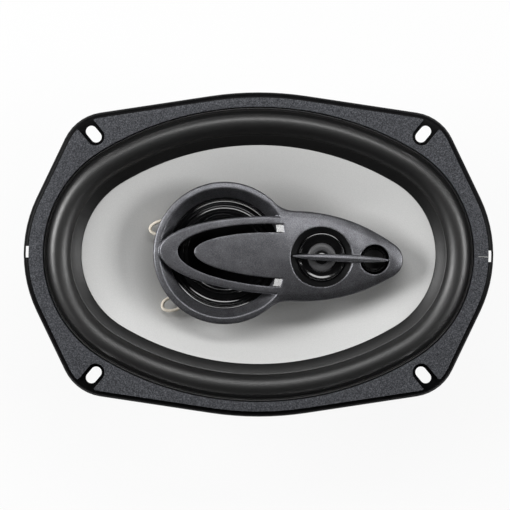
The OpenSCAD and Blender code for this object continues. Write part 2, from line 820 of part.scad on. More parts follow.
module mid_rim() {
  r = mid_rim_r;
  f = mid_open_r;
  translate([-mid_x, 0, 0])
    rotate_extrude()
      polygon(concat(
        [[r - cover_wall, pod_split], [r, pod_split]],
        [for (a = [0, 22.5, 45, 67.5, 90]) [r - 2 + 2 * cos(a), ring_top - 2 + 2 * sin(a)]],
        [[f + 4.6, ring_top], [f + 4, ring_top - 0.4], [f, funnel_low + 0.6], [f, funnel_low],
          [f + 1.2, funnel_low], [f + 5.2, ring_top - cover_wall], [r - cover_wall, ring_top - cover_wall - 0.8]]
      ));
}
module fin() {
  n = 16;
  from = tweeter_x - 14.5;
  to = super_x + 7;
  up = [for (i = [0 : n]) let (t = i / n) [lerp(from, to, t), 0.25 + (fin_t / 2 - 0.25) * pow(sin(180 * t), 0.7)]];
  section_loft([for (i = [0 : n])
    let (x = up[i][0], w = up[i][1], t = i / n, top = crown(x) + 0.3 + 1.3 * pow(sin(180 * t), 0.6), low = crown(x) - 2.4)
    [[x, w, low], [x, w, top - 0.6], [x, w * 0.6, top], [x, -w * 0.6, top], [x, -w, top - 0.6], [x, -w, low]]]);
}

// Lower shell of the pod: bowl for the midrange, tray for the tweeters, boss for the post
module pod_base() {
  r = mid_rim_r - 0.9;
  color([0.14, 0.14, 0.15])
    rotate([0, 0, pod_turn])
      difference() {
        union() {
          translate([-mid_x, 0, 0])
            rotate_extrude()
              polygon([[0, mid_floor_z - 3.4], [mid_floor_r + 2, mid_floor_z - 3.4], [30, base_low - 2.6],
                [r, base_low - 0.4], [r, pod_split], [0, pod_split]]);
          translate([0, 0, base_low])
            linear_extrude(pod_split - base_low) {
              difference() {
                tail_plan(-0.4);
                translate([-30, -30])
                  square([34, 60]);
              }
              intersection() {
                neck_plan();
                translate([-mid_x, 0])
                  circle(r = 46);
              }
            }
          translate([0, 0, post_top])
            cylinder(r = boss_r, h = base_low - post_top);
        }
        translate([-mid_x, 0, 0])
          rotate_extrude()
            polygon([[0, -40], [mid_plate_r + 1.2, -40], [mid_plate_r + 1.2, mid_floor_z - 1.2],
              [mid_floor_r + 1.4, mid_floor_z - 1.2], [mid_body_r + 2.6, mid_seat - 1],
              [mid_flange_r - 2.4, mid_seat - 0.4], [mid_flange_r - 2.4, mid_seat], [mid_flange_r + fit, mid_seat],
              [mid_flange_r + fit, pod_split + 1], [0, pod_split + 1]]);
        translate([0, 0, base_floor])
          linear_extrude(10)
            difference() {
              tail_plan(-0.4 - cover_wall);
              translate([-mid_x, 0])
                circle(r = r);
            }
        translate([0, 0, post_top - 1])
          cylinder(r = spigot_r + 0.05, h = spigot_top + 0.4 - post_top + 1);
        for (p = screw_spots)
          translate([p[0], p[1], base_low - 1])
            cylinder(r = 1.2 + fit, h = 6);
        rotate([0, 0, -pod_turn])
          for (p = [lead_hole_upper, lead_hole_lower])
            translate([p[0], p[1], -20])
              cylinder(r = lead_r + 0.4, h = 20 + mid_seat - 0.6);
      }
}

module pod_screws() {
  color([0.3, 0.3, 0.32])
    rotate([0, 0, pod_turn])
      for (p = screw_spots)
        translate([p[0], p[1], base_low])
          rotate_extrude()
            polygon([[0, -1.5], [1.6, -1.5], [screw_head_r, -0.7], [screw_head_r, 0], [1.2, 0], [1.2, 6.2],
              [0.5, 7], [0, 7]]);
}

// Midrange driver, hung in the bowl of the pod
module at_mid() {
  rotate([0, 0, pod_turn])
    translate([-mid_x, 0, 0])
      children();
}
module mid_frame() {
  color([0.5, 0.5, 0.52])
    at_mid()
      rotate_extrude()
        polygon([[7.6, mid_floor_z - 0.9], [mid_floor_r, mid_floor_z - 0.9], [mid_body_r, mid_seat],
          [mid_flange_r, mid_seat], [mid_flange_r, mid_seat + 1], [mid_body_r - 0.8, mid_seat + 1],
          [mid_floor_r - 0.8, mid_floor_z], [7.6, mid_floor_z]]);
}
mid_edge_z = mid_seat + 1;
module mid_surround() {
  color([0.05, 0.05, 0.05])
    at_mid()
      translate([0, 0, mid_edge_z])
        rotate_extrude() {
          translate([mid_cone_r + mid_roll_r, 0])
            difference() {
              circle(r = mid_roll_r);
              circle(r = mid_roll_r - 0.35);
              translate([-5, -10])
                square([10, 10]);
            }
          translate([mid_cone_r + 2 * mid_roll_r - 0.35, 0])
            square([1.35, 0.35]);
          translate([mid_cone_r - 1, 0])
            square([1.35, 0.35]);
        }
}
module mid_cone() {
  top = mid_edge_z;
  color([0.06, 0.06, 0.06])
    at_mid()
      rotate_extrude()
        polygon([[mid_cone_r - 1.2, top], [mid_cone_r, top], [mid_cone_r, top - 0.5], [mid_cone_r - 1, top - 0.5],
          [12.6, top - 3.8], [mid_neck_r + 0.5, top - 6.6], [mid_neck_r - 0.1, top - 6.6], [mid_neck_r - 0.1, top - 6],
          [5, top - 4.4], [2.6, top - 3.5], [0, top - 3.2], [0, top - 2.7], [2.7, top - 3],
          [5.2, top - 3.9], [mid_neck_r + 0.1, top - 5.5], [12.4, top - 3.1]]);
}
module mid_coil() {
  color([0.72, 0.4, 0.2])
    at_mid()
      rotate_extrude()
        polygon([[6, mid_edge_z - 13.2], [6.6, mid_edge_z - 13.2], [6.6, mid_edge_z - 10], [6.3, mid_edge_z - 10],
          [6.3, mid_edge_z - 6.8], [6, mid_edge_z - 6.8]]);
}
mid_plate_z = mid_floor_z - 0.9;
module mid_top_plate() {
  color([0.7, 0.7, 0.72])
    at_mid()
      translate([0, 0, mid_plate_z - 1.6])
        difference() {
          cylinder(r = mid_plate_r, h = 1.6);
          translate([0, 0, -1])
            cylinder(r = 6.95, h = 4);
        }
}
module mid_magnet() {
  color([0.16, 0.16, 0.17])
    at_mid()
      translate([0, 0, mid_plate_z - 5.6])
        difference() {
          cylinder(r = mid_plate_r, h = 4);
          translate([0, 0, -1])
            cylinder(r = 7.6, h = 6);
        }
}
module mid_yoke() {
  color([0.7, 0.7, 0.72])
    at_mid()
      rotate_extrude()
        polygon([[0, mid_plate_z - 7.4], [mid_plate_r, mid_plate_z - 7.4], [mid_plate_r, mid_plate_z - 5.6],
          [5.6, mid_plate_z - 5.6], [5.6, mid_plate_z + 0.2], [0, mid_plate_z + 0.2]]);
}
module mid_trim() {
  in_r = mid_cone_r + 2 * mid_roll_r + 0.3;
  low = mid_edge_z + 0.35;
  color([0.03, 0.03, 0.03])
    at_mid()
      rotate_extrude()
        polygon([[in_r, low], [mid_flange_r - 0.1, low], [mid_flange_r - 0.1, low + 0.8], [mid_open_r + 1, low + 1.4],
          [mid_open_r - 0.6, low + 1.4], [mid_open_r - 0.9, low + 0.8], [mid_open_r - 2, low + 0.8],
          [mid_open_r - 2.3, low + 1.3], [mid_open_r - 3, low + 1.3], [in_r, low + 0.5]]);
}

// Tweeter under the fin
module at_tweeter() {
  rotate([0, 0, pod_turn])
    translate([tweeter_x, 0, 0])
      children();
}
module tweeter_cup() {
  color([0.5, 0.5, 0.52])
    at_tweeter()
      rotate_extrude()
        polygon([[0, tweeter_seat], [tweeter_r, tweeter_seat], [tweeter_r, tweeter_top], [7.4, tweeter_top],
          [6.7, tweeter_top - 0.8], [6.7, tweeter_seat + 1.2], [0, tweeter_seat + 1.2]]);
}
module tweeter_magnet() {
  color([0.6, 0.6, 0.6])
    at_tweeter()
      translate([0, 0, tweeter_seat + 1.2])
        cylinder(r = 4.6, h = 1.8);
}
module tweeter_pole() {
  color([0.7, 0.7, 0.72])
    at_tweeter()
      translate([0, 0, tweeter_seat + 3])
        cylinder(r = 5.2, h = 1);
}
module tweeter_coil() {
  low = tweeter_seat + 2.4;
  color([0.72, 0.4, 0.2])
    at_tweeter()
      translate([0, 0, low])
        difference() {
          cylinder(r = 6, h = tweeter_top + 0.1 - low);
          translate([0, 0, -1])
            cylinder(r = 5.65, h = 10);
        }
}
module tweeter_face() {
  color([0.03, 0.03, 0.03])
    at_tweeter()
      rotate_extrude()
        polygon([[7.3, tweeter_top], [tweeter_r, tweeter_top], [tweeter_r, tweeter_top + 0.7],
          [11.4, tweeter_top + 1], [10.9, tweeter_top + 0.6], [9, tweeter_top + 0.35], [7.3, tweeter_top + 0.5]]);
}
module tweeter_ring() {
  color([0.45, 0.45, 0.46])
    at_tweeter()
      translate([0, 0, tweeter_top + 0.1])
        rotate_extrude()
          polygon([[3.5, 0.35], [5.2, 0.05], [6.9, 0], [6.9, 0.4], [6.3, 0.85], [5.2, 1.1], [4.2, 1], [3.5, 0.75]]);
}
module tweeter_cap() {
  color([0.02, 0.02, 0.02])
    at_tweeter()
      translate([0, 0, tweeter_top + 0.45])
        rotate_extrude()
          polygon([[0, 0], [3.4, 0], [3.4, 0.5], [3, 1.1], [2.2, 1.6], [1.2, 1.9], [0, 2]]);
}

// Super tweeter in the tip
module at_super() {
  rotate([0, 0, pod_turn])
    translate([super_x, 0, 0])
      children();
}
module super_tweeter_cup() {
  color([0.05, 0.05, 0.05])
    at_super()
      rotate_extrude()
        polygon([[0, tweeter_seat], [super_r, tweeter_seat], [super_r, super_top], [6.2, super_top + 1.2],
          [5.6, super_top + 1.2], [5.6, super_top - 0.6], [4.6, super_top - 1.4], [0, super_top - 1.4]]);
}
module super_tweeter_disc() {
  color([0.3, 0.3, 0.31])
    at_super()
      translate([0, 0, super_top - 0.3])
        rotate_extrude()
          polygon([[0, -0.7], [1.4, -0.7], [5.2, 0], [5.2, 0.4], [1.6, -0.2], [0, -0.2]]);
}

module capacitors() {
  color([0.2, 0.25, 0.4])
    rotate([0, 0, pod_turn])
      for (s = [-1, 1])
        translate([cap_x, s * cap_y, base_floor + cap_r + 0.1])
          rotate([0, 90, 0])
            rotate_extrude()
              polygon([[0, 0], [cap_r - 0.3, 0], [cap_r, 0.3], [cap_r, 1.2], [cap_r - 0.25, 1.5], [cap_r, 1.8],
                [cap_r, cap_l - 0.3], [cap_r - 0.3, cap_l], [0, cap_l]]);
}

// Tinsel leads in front of the cone: up from the eyelet, out in a loop and back into the pod
lead_hole_upper = [-41, 9];
lead_hole_lower = [-33, -20];
function from_cone(e, up) = [e[0], e[1], cone_z(e)] + up * cone_normal(e);
function under_pod(x, y, drop) = [x, y, base_low - drop];
module lead_upper() {
  h = lead_hole_upper;
  color([0.85, 0.78, 0.6])
    lead([from_cone(eyelet_upper, 1.8), from_cone(eyelet_upper, 3.4), under_pod(-48, 17, 7.4),
      under_pod(-53.6, 15, 5.8), under_pod(-54.6, 12, 5.6), under_pod(-51, 10, 6), under_pod(-45, 9, 6.8),
      under_pod(h[0] - 0.6, h[1], 6.2), under_pod(h[0], h[1], 4), under_pod(h[0], h[1], 2.2)], 3);
}
module lead_lower() {
  h = lead_hole_lower;
  color([0.85, 0.78, 0.6])
    lead([from_cone(eyelet_lower, 1.8), from_cone(eyelet_lower, 3.4), under_pod(-43.6, -21, 7.2),
      under_pod(-48, -24, 5.6), under_pod(-48, -27.4, 4.8), under_pod(-44, -28.4, 4.8), under_pod(-39, -26.6, 5.8),
      under_pod(h[0] - 1.2, h[1] - 1.8, 7), under_pod(h[0], h[1], 5.4), under_pod(h[0], h[1], 3.6)], 3);
}

// Terminals on a tab of the basket, and the leads from there to the back of the cone
module at_terminals() {
  rotate([0, 0, terminal_turn])
    translate([cup_r + 15, 0, spider_z - sheet_t])
      children();
}
module terminal_board() {
  color([0.45, 0.3, 0.15])
    at_terminals()
      difference() {
        translate([-8.5, -14, -board_t])
          cube([17, 28, board_t]);
        for (s = [-1, 0, 1])
          translate([0, s * terminal_gap / 2, -board_t - 1])
            cylinder(r = 1.5 + fit, h = board_t + 2);
      }
}
module blade(w) {
  difference() {
    union() {
      translate([-5.5, -w / 2, 0])
        cube([11.5, w, blade_t]);
      translate([6, -w / 2, 0])
        linear_extrude(blade_t)
          polygon([[0, 0], [10, 0], [12, 1.2], [12, w - 1.2], [10, w], [0, w]]);
    }
    translate([0, 0, -1])
      cylinder(r = 1.5 + fit, h = 3);
    translate([13, 0, -1])
      cylinder(r = 0.8, h = 3);
    translate([-4, 0, -1])
      cylinder(r = 0.6, h = 3);
  }
}
module terminal_wide() {
  color([0.8, 0.78, 0.7])
    at_terminals()
      translate([0, terminal_gap / 2, 0])
        blade(6.3);
}
module terminal_narrow() {
  color([0.8, 0.78, 0.7])
    at_terminals()
      translate([0, -terminal_gap / 2, 0])
        blade(4.8);
}
module terminal_rivets() {
  color([0.75, 0.72, 0.6])
    at_terminals()
      for (s = [-1, 0, 1])
        translate([0, s * terminal_gap / 2, 0])
          rotate_extrude()
            polygon([[0, -board_t - 0.8], [2, -board_t - 0.8], [2.4, -board_t], [1.5, -board_t],
              [1.5, s == 0 ? sheet_t : blade_t], [2.4, s == 0 ? sheet_t : blade_t],
              [2, (s == 0 ? sheet_t : blade_t) + 0.8], [0, (s == 0 ? sheet_t : blade_t) + 0.8]]);
}
function at_terminal(out, across, up) =
  concat(polar(cup_r + 15 + out, terminal_turn) + polar(across, terminal_turn + 90), [spider_z - sheet_t + up]);
function behind_cone(x, y, share) = [x, y, lerp(cone_z([x, y]), spider_z, share)];
module rear_lead_upper() {
  s = -terminal_gap / 2;
  color([0.85, 0.78, 0.6])
    lead([at_terminal(-4, s, 1.5), at_terminal(-4, s, 2.9), at_terminal(3, s - 5, 7), at_terminal(4, s - 10, 11),
      behind_cone(-56, -27, 0.6), behind_cone(-54, -8, 0.44), behind_cone(-48, 6, 0.34),
      from_cone(eyelet_upper, -5), from_cone(eyelet_upper, -2.4)], 3);
}
module rear_lead_lower() {
  s = terminal_gap / 2;
  color([0.85, 0.78, 0.6])
    lead([at_terminal(-4, s, 1.5), at_terminal(-4, s, 2.9), at_terminal(3, s + 5, 7), at_terminal(4, s + 9, 11),
      behind_cone(-32, -48, 0.63), behind_cone(-36, -34, 0.51), behind_cone(-37, -24, 0.41),
      from_cone(eyelet_lower, -5), from_cone(eyelet_lower, -2.4)], 3);
}

basket();
gasket();
surround();
cone();
voice_coil_former();
voice_coil();
spider();
dust_seal();
top_plate();
magnet();
back_plate();
frame_rivets();
centre_post();
post_nut();
pod_base();
pod_cover();
pod_screws();
mid_trim();
mid_surround();
mid_cone();
mid_coil();
mid_frame();
mid_top_plate();
mid_magnet();
mid_yoke();
tweeter_face();
tweeter_ring();
tweeter_cap();
tweeter_coil();
tweeter_cup();
tweeter_magnet();
tweeter_pole();
super_tweeter_cup();
super_tweeter_disc();
capacitors();
lead_eyelets();
lead_upper();
lead_lower();
rear_lead_upper();
rear_lead_lower();
terminal_board();
terminal_wide();
terminal_narrow();
terminal_rivets();
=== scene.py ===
import math

import bmesh
import bpy
import numpy as np
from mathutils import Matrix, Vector


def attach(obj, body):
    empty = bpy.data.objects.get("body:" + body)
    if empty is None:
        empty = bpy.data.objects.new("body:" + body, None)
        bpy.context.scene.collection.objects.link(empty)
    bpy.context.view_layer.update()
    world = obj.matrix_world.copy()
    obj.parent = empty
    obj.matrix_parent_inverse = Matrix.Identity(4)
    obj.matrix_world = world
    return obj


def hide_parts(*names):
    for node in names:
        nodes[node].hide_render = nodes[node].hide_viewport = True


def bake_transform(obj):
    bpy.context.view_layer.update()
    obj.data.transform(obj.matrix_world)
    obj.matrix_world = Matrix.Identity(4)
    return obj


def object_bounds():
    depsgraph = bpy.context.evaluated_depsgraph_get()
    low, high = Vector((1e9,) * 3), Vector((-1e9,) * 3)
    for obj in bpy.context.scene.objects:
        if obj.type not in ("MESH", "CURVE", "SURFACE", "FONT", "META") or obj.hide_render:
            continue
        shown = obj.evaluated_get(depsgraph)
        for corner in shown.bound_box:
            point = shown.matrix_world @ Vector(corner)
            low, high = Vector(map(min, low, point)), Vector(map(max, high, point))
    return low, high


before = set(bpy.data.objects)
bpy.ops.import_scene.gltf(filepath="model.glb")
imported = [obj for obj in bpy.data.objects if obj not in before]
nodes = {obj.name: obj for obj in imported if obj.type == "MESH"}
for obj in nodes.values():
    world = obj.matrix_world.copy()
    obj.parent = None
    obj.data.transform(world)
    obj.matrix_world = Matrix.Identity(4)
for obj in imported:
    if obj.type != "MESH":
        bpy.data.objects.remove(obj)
cad_low, cad_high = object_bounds()
scene = bpy.context.scene
scene.view_settings.view_transform = "Standard"
MM = 0.001

# Camera: straight at the front, in the frame of a square picture
PICTURE_W = 0.256
CAMERA_D = 0.80
CAMERA_AT = (-0.00176, -0.00025, 0.002)
cam_data = bpy.data.cameras.new("camera")
cam_data.sensor_width = 36.0
cam_data.sensor_fit = "HORIZONTAL"
cam_data.lens = 36.0 * CAMERA_D / PICTURE_W
cam = bpy.data.objects.new("camera", cam_data)
cam.location = (CAMERA_AT[0], CAMERA_AT[1], CAMERA_AT[2] + CAMERA_D)
scene.collection.objects.link(cam)
scene.camera = cam

# Sizes of the part, in millimetres, as in its source
LEDGE_Z = 1.9
RIM_H = 4.1
CONE_L, CONE_W, CONE_END_R = 178.0, 110.0, 42.0
CONE_DEPTH, CONE_T, CONE_FLARE = 33.0, 0.7, 0.12
NECK_R, NECK_Z = 13.05, -31.1
LIP_W, ROLL_W, RUBBER_T, FOOT_W = 4.8, 13.8, 0.6, 2.8
ROLL_OUT = LIP_W + ROLL_W
FOOT_OUT = ROLL_OUT + FOOT_W
LIP_FALL = 1.4
SPIDER_Z, SPIDER_T, SPIDER_IN, CUP_R, SPIDER_OUT = -39.6, 0.5, 13.05, 39.0, 44.8
SPIDER_WAVES, SPIDER_AMP = 5, 1.6
POD_TURN = math.radians(-2.5)
MID_X = 17.0
MID_CONE_R, MID_ROLL_R, MID_EDGE_Z, MID_FLANGE_R = 19.9, 1.9, 2.2, 31.0
BRAID_R = 0.85
TERMINAL_TURN = math.radians(231.5)
TERMINAL_GAP = 17.0

# Sizes of the pod, along its own axes; its tail is a little fuller than the solid's
TAIL_X, TAIL_HALF, TIP_X, TIP_R = 20.0, 22.5, 62.6, 9.3
POD_SPLIT, COVER_WALL = 3.0, 1.8
CROWN_Z, CROWN_FALL, CROWN_HALF = 13.0, 3.0, 13.0
CROWN_REACH, CROWN_SINK_RIGHT, CROWN_SINK_LEFT = 60.0, 2.6, 1.5
HOOD_T, HOOD_FALL = 3.0, 0.7
HOOD_C, HOOD_A, HOOD_B = 12.0, 61.5, 19.4
SLOT_OUT, SLOT_IN = (52.2, 15.5), (44.0, 11.4)
SLOT_END_X, SLOT_END_SINK, SLOT_END_SLOPE, SLOT_END_LENGTH = 13.3, 0.45, 1.75, 2.02
SLOT_LOW = 4.0
MID_RIM_R, MID_OPEN_R, RING_TOP, FUNNEL_LOW, FUNNEL_SLOPE = 35.5, 27.7, 9.9, 4.7, 1.05
TWEETER_X, TWEETER_OPEN_R, TWEETER_R, TWEETER_TOP = 31.5, 15.5, 12.2, 7.4
SUPER_X, SUPER_OPEN_R, SUPER_TOP = 57.7, 7.3, 5.4
FILLET_R = 15.0
BEVEL, BEVEL_W = 0.16, 3.6
FIN_FROM, FIN_TO = TWEETER_X - 14.5, SUPER_X + 7.0
FIN_HALF, FIN_RISE, FIN_SLOPE, FIN_LEAN, FIN_LOW = 1.6, 1.7, 0.3, 1.044, 2.4
SCREWS = ((21, 17), (21, -17), (47.5, 9.5), (47.5, -9.5))
SCREW_R, BOSS_R, SCREW_DEPTH = 1.35, 2.6, 5
POD_LOW, POD_HIGH = (-54.2, -37.2, 2.2), (73.6, 37.2, 15.8)
ON_WALL = 0.12

FILLET_Y = TAIL_HALF + FILLET_R
FILLET_X = -MID_X + math.sqrt((MID_RIM_R + FILLET_R) ** 2 - FILLET_Y**2)
TAIL_DX = TIP_X - TAIL_X
TAIL_R = (TAIL_DX**2 + TAIL_HALF**2 - TIP_R**2) / (2 * (TAIL_HALF - TIP_R))
TAIL_END = TAIL_X + TAIL_R * TAIL_DX / (TAIL_R - TIP_R)
TWEETER_MOUTH = [
    (-5, 0), (TWEETER_R + 0.15, 0), (TWEETER_R + 0.15, TWEETER_TOP + 0.8), (TWEETER_OPEN_R, CROWN_Z - 1.0),
    (TWEETER_OPEN_R, 40), (-5, 40),
]
SUPER_MOUTH = [(-5, 0), (SUPER_OPEN_R, 0), (SUPER_OPEN_R, 40), (-5, 40)]

OVAL_C1 = CONE_L / 2 - CONE_END_R
OVAL_RS = (OVAL_C1**2 + CONE_W**2 / 4 - CONE_END_R**2) / (CONE_W - 2 * CONE_END_R)
OVAL_C2 = OVAL_RS - CONE_W / 2
OVAL_TURN = math.atan2(OVAL_C2, OVAL_C1)
OVAL_N_END, OVAL_N_SIDE = 40, 34
OVAL_N = 4 * (OVAL_N_END + OVAL_N_SIDE)


# Shape helpers
def oval(off):
    """Points of the cone's outline moved outward by off, anticlockwise from +X."""
    a = np.linspace(0, OVAL_TURN, OVAL_N_END + 1)
    tip = np.c_[OVAL_C1 + (CONE_END_R + off) * np.cos(a), (CONE_END_R + off) * np.sin(a)]
    b = np.linspace(OVAL_TURN, math.pi / 2, OVAL_N_SIDE + 1)[1:]
    side = np.c_[(OVAL_RS + off) * np.cos(b), -OVAL_C2 + (OVAL_RS + off) * np.sin(b)]
    q = np.vstack([tip, side])
    return np.vstack([q, q[-2::-1] * [-1, 1], q[1:] * [-1, -1], q[-2:0:-1] * [1, -1]])


def oval_reach(t):
    """Distance from the axis to the same outline in direction t."""
    u, v = np.abs(np.cos(t)), np.abs(np.sin(t))
    jx, jy = OVAL_C1 + CONE_END_R * math.cos(OVAL_TURN), CONE_END_R * math.sin(OVAL_TURN)
    end = OVAL_C1 * u + np.sqrt(np.maximum(CONE_END_R**2 - (OVAL_C1 * v) ** 2, 0))
    side = np.sqrt(OVAL_RS**2 - (OVAL_C2 * u) ** 2) - OVAL_C2 * v
    return np.where(v * jx <= u * jy, end, side)


def cone_drop(t):
    """Depth below the mouth at share t of the way to the neck."""
    return CONE_DEPTH * (t - CONE_FLARE * t * (1 - t))


def cone_z(x, y):
    edge = oval_reach(np.arctan2(y, x))
    return LEDGE_Z - cone_drop((edge - np.hypot(x, y)) / (edge - NECK_R))


def smooth(t):
    u = np.clip(t, 0, 1)
    return u * u * (3 - 2 * u)


def arc2(cx, cz, r, a0, a1, n):
    a = np.radians(np.linspace(a0, a1, n + 1))
    return np.c_[cx + r * np.cos(a), cz + r * np.sin(a)]


def new_object(name, verts_mm, faces, mat, smooth_angle=35.0):
    mesh = bpy.data.meshes.new(name)
    points = [tuple(v) for v in np.asarray(verts_mm, float) * MM]
    mesh.from_pydata(points, [], [tuple(int(i) for i in f) for f in faces])
    mesh.validate()
    bm = bmesh.new()
    bm.from_mesh(mesh)
    bmesh.ops.recalc_face_normals(bm, faces=bm.faces)
    limit = math.radians(smooth_angle)
    for f in bm.faces:
        f.smooth = True
    for e in bm.edges:
        e.smooth = len(e.link_faces) == 2 and e.calc_face_angle(0.0) < limit
    bm.to_mesh(mesh)
    bm.free()
    obj = bpy.data.objects.new(name, mesh)
    scene.collection.objects.link(obj)
    mesh.materials.append(mat)
    return obj


def ring_faces(m, n, closed=True):
    """Faces between m rings of n points; without closed, the last ring isn't joined to the first."""
    return [
        (i * n + k, i * n + (k + 1) % n, ((i + 1) % m) * n + (k + 1) % n, ((i + 1) % m) * n + k)
        for i in range(m if closed else m - 1)
        for k in range(n)
    ]


def bar_faces(m, n):
    """Faces of a bar of m rings, with both its ends."""
    return ring_faces(m, n, closed=False) + [tuple(range(n)), tuple((m - 1) * n + k for k in range(n))]


def oval_loft(name, profile, mat):
    """A ring of the profile (distance outward, height) carried round the oval."""
    rings = [np.c_[oval(o), np.full((OVAL_N, 1), z)] for o, z in profile]
    return new_object(name, np.vstack(rings), ring_faces(len(rings), OVAL_N), mat)


def turned(name, profile, mat, centre=(0.0, 0.0), n=144, smooth_angle=35.0):
    """A ring of the profile (radius, height) turned about a vertical line."""
    a = np.linspace(0, 2 * math.pi, n, endpoint=False)
    rings = [np.c_[centre[0] + r * np.cos(a), centre[1] + r * np.sin(a), np.full(n, z)] for r, z in profile]
    return new_object(name, np.vstack(rings), ring_faces(len(rings), n), mat, smooth_angle)


def rounded(points, radius):
    """The closed profile with every corner away from the axis replaced by a curve."""
    p = [np.array(q, float) for q in points]
    out = []
    for i, q in enumerate(p):
        a, b = p[i - 1] - q, p[(i + 1) % len(p)] - q
        la, lb = np.linalg.norm(a), np.linalg.norm(b)
        if q[0] < 1e-6:
            out.append(tuple(q))
            continue
        a, b = a / la, b / lb
        half = math.acos(float(np.clip(a @ b, -1, 1))) / 2
        if half > math.radians(87):
            out.append(tuple(q))
            continue
        cut = min(radius / math.tan(half), 0.45 * la, 0.45 * lb)
        start, end = q + a * cut, q + b * cut
        for t in np.linspace(0, 1, 5):
            out.append(tuple((1 - t) ** 2 * start + 2 * t * (1 - t) * q + t * t * end))
    return out


def solid_turned(name, node, body, base, points, radius, mat, centre):
    """A turned solid with rounded edges in place of a CAD solid; heights are above base."""
    profile = rounded([(r, base + z) for r, z in points], radius)
    obj = turned(name, profile, mat, centre=centre, n=128)
    bm = bmesh.new()
    bm.from_mesh(obj.data)
    bmesh.ops.remove_doubles(bm, verts=bm.verts, dist=1e-7)
    bmesh.ops.recalc_face_normals(bm, faces=bm.faces)
    bm.to_mesh(obj.data)
    bm.free()
    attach(obj, body)
    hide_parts(node)


def spin(p, back=False):
    """From the pod's own axes to the part's, or back."""
    c, s = math.cos(POD_TURN), math.sin(POD_TURN) * (-1 if back else 1)
    p = np.asarray(p, float)
    plan = [p[..., 0] * c - p[..., 1] * s, p[..., 0] * s + p[..., 1] * c]
    return np.stack(plan + [p[..., i] for i in range(2, p.shape[-1])], -1)


# Materials
def socket(node, name, value):
    node.inputs[name].default_value = value


class Surface:
    """A procedural material: its nodes read the place on the piece, in metres."""

    def __init__(self, name, colour, rough=0.5, metal=0.0, coat=0.0, spec=0.5, sheen=0.0):
        self.mat = bpy.data.materials.new(name)
        self.mat.use_nodes = True
        self.tree = self.mat.node_tree
        self.bsdf = self.tree.nodes["Principled BSDF"]
        socket(self.bsdf, "Base Color", (*colour, 1))
        socket(self.bsdf, "Roughness", rough)
        socket(self.bsdf, "Metallic", metal)
        socket(self.bsdf, "Specular IOR Level", spec)
        if coat:
            socket(self.bsdf, "Coat Weight", coat)
            socket(self.bsdf, "Coat Roughness", 0.1)
        if sheen:
            socket(self.bsdf, "Sheen Weight", sheen)
            socket(self.bsdf, "Sheen Roughness", 0.5)
        self.place = self.node("ShaderNodeTexCoord").outputs["Object"]
        self.height = None

    def node(self, kind, **settings):
        n = self.tree.nodes.new(kind)
        for k, v in settings.items():
            setattr(n, k, v)
        return n

    def link(self, a, b):
        self.tree.links.new(a, b)

    def noise(self, scale, detail, rough=0.55, stretch=None):
        n = self.node("ShaderNodeTexNoise")
        socket(n, "Scale", scale)
        socket(n, "Detail", detail)
        socket(n, "Roughness", rough)
        source = self.place
        if stretch:
            m = self.node("ShaderNodeMapping")
            socket(m, "Scale", stretch)
            self.link(source, m.inputs["Vector"])
            source = m.outputs["Vector"]
        self.link(source, n.inputs["Vector"])
        return n.outputs["Fac"]

    def math(self, operation, a, b=None):
        n = self.node("ShaderNodeMath", operation=operation)
        for i, v in enumerate((a, b)):
            if v is None:
                continue
            if isinstance(v, (int, float)):
                n.inputs[i].default_value = v
            else:
                self.link(v, n.inputs[i])
        return n.outputs[0]

    def ramp(self, value, *stops):
        n = self.node("ShaderNodeValToRGB")
        el = n.color_ramp.elements
        while len(el) < len(stops):
            el.new(0.5)
        for e, (at, c) in zip(el, stops):
            e.position = at
            e.color = (c, c, c, 1) if isinstance(c, (int, float)) else (*c, 1)
        self.link(value, n.inputs["Fac"])
        return n.outputs["Color"]

    def colour(self, value, *stops):
        self.link(self.ramp(value, *stops), self.bsdf.inputs["Base Color"])

    def roughness(self, value, low, high):
        self.link(self.ramp(value, (0.3, low), (0.7, high)), self.bsdf.inputs["Roughness"])

    def bump(self, value, strength, distance):
        n = self.node("ShaderNodeBump")
        socket(n, "Strength", strength)
        socket(n, "Distance", distance)
        self.link(value, n.inputs["Height"])
        if self.height is not None:
            self.link(self.height, n.inputs["Normal"])
        self.height = n.outputs["Normal"]
        self.link(self.height, self.bsdf.inputs["Normal"])

    def split(self):
        n = self.node("ShaderNodeSeparateXYZ")
        self.link(self.place, n.inputs[0])
        return n.outputs

    def radius(self):
        x, y, _ = self.split()
        return self.math("SQRT", self.math("ADD", self.math("MULTIPLY", x, x), self.math("MULTIPLY", y, y)))

    def wave(self, value, per_unit):
        return self.math("SINE", self.math("MULTIPLY", value, 2 * math.pi * per_unit))


def mottled(name, colour, rough, shades, gloss, grain, **finish):
    """A plain finish: two close shades, a slightly uneven gloss and a fine grain."""
    s = Surface(name, colour, rough, **finish)
    pattern, dark, pale = shades
    s.colour(s.noise(*pattern), (0.3, dark), (0.7, pale))
    pattern, low, high = gloss
    s.roughness(s.noise(*pattern), low, high)
    pattern, strength, depth = grain
    s.bump(s.noise(*pattern), strength, depth)
    return s.mat


def blend_of(s, a, share_a, b, share_b):
    return s.math("ADD", s.math("MULTIPLY", a, share_a), s.math("MULTIPLY", b, share_b))


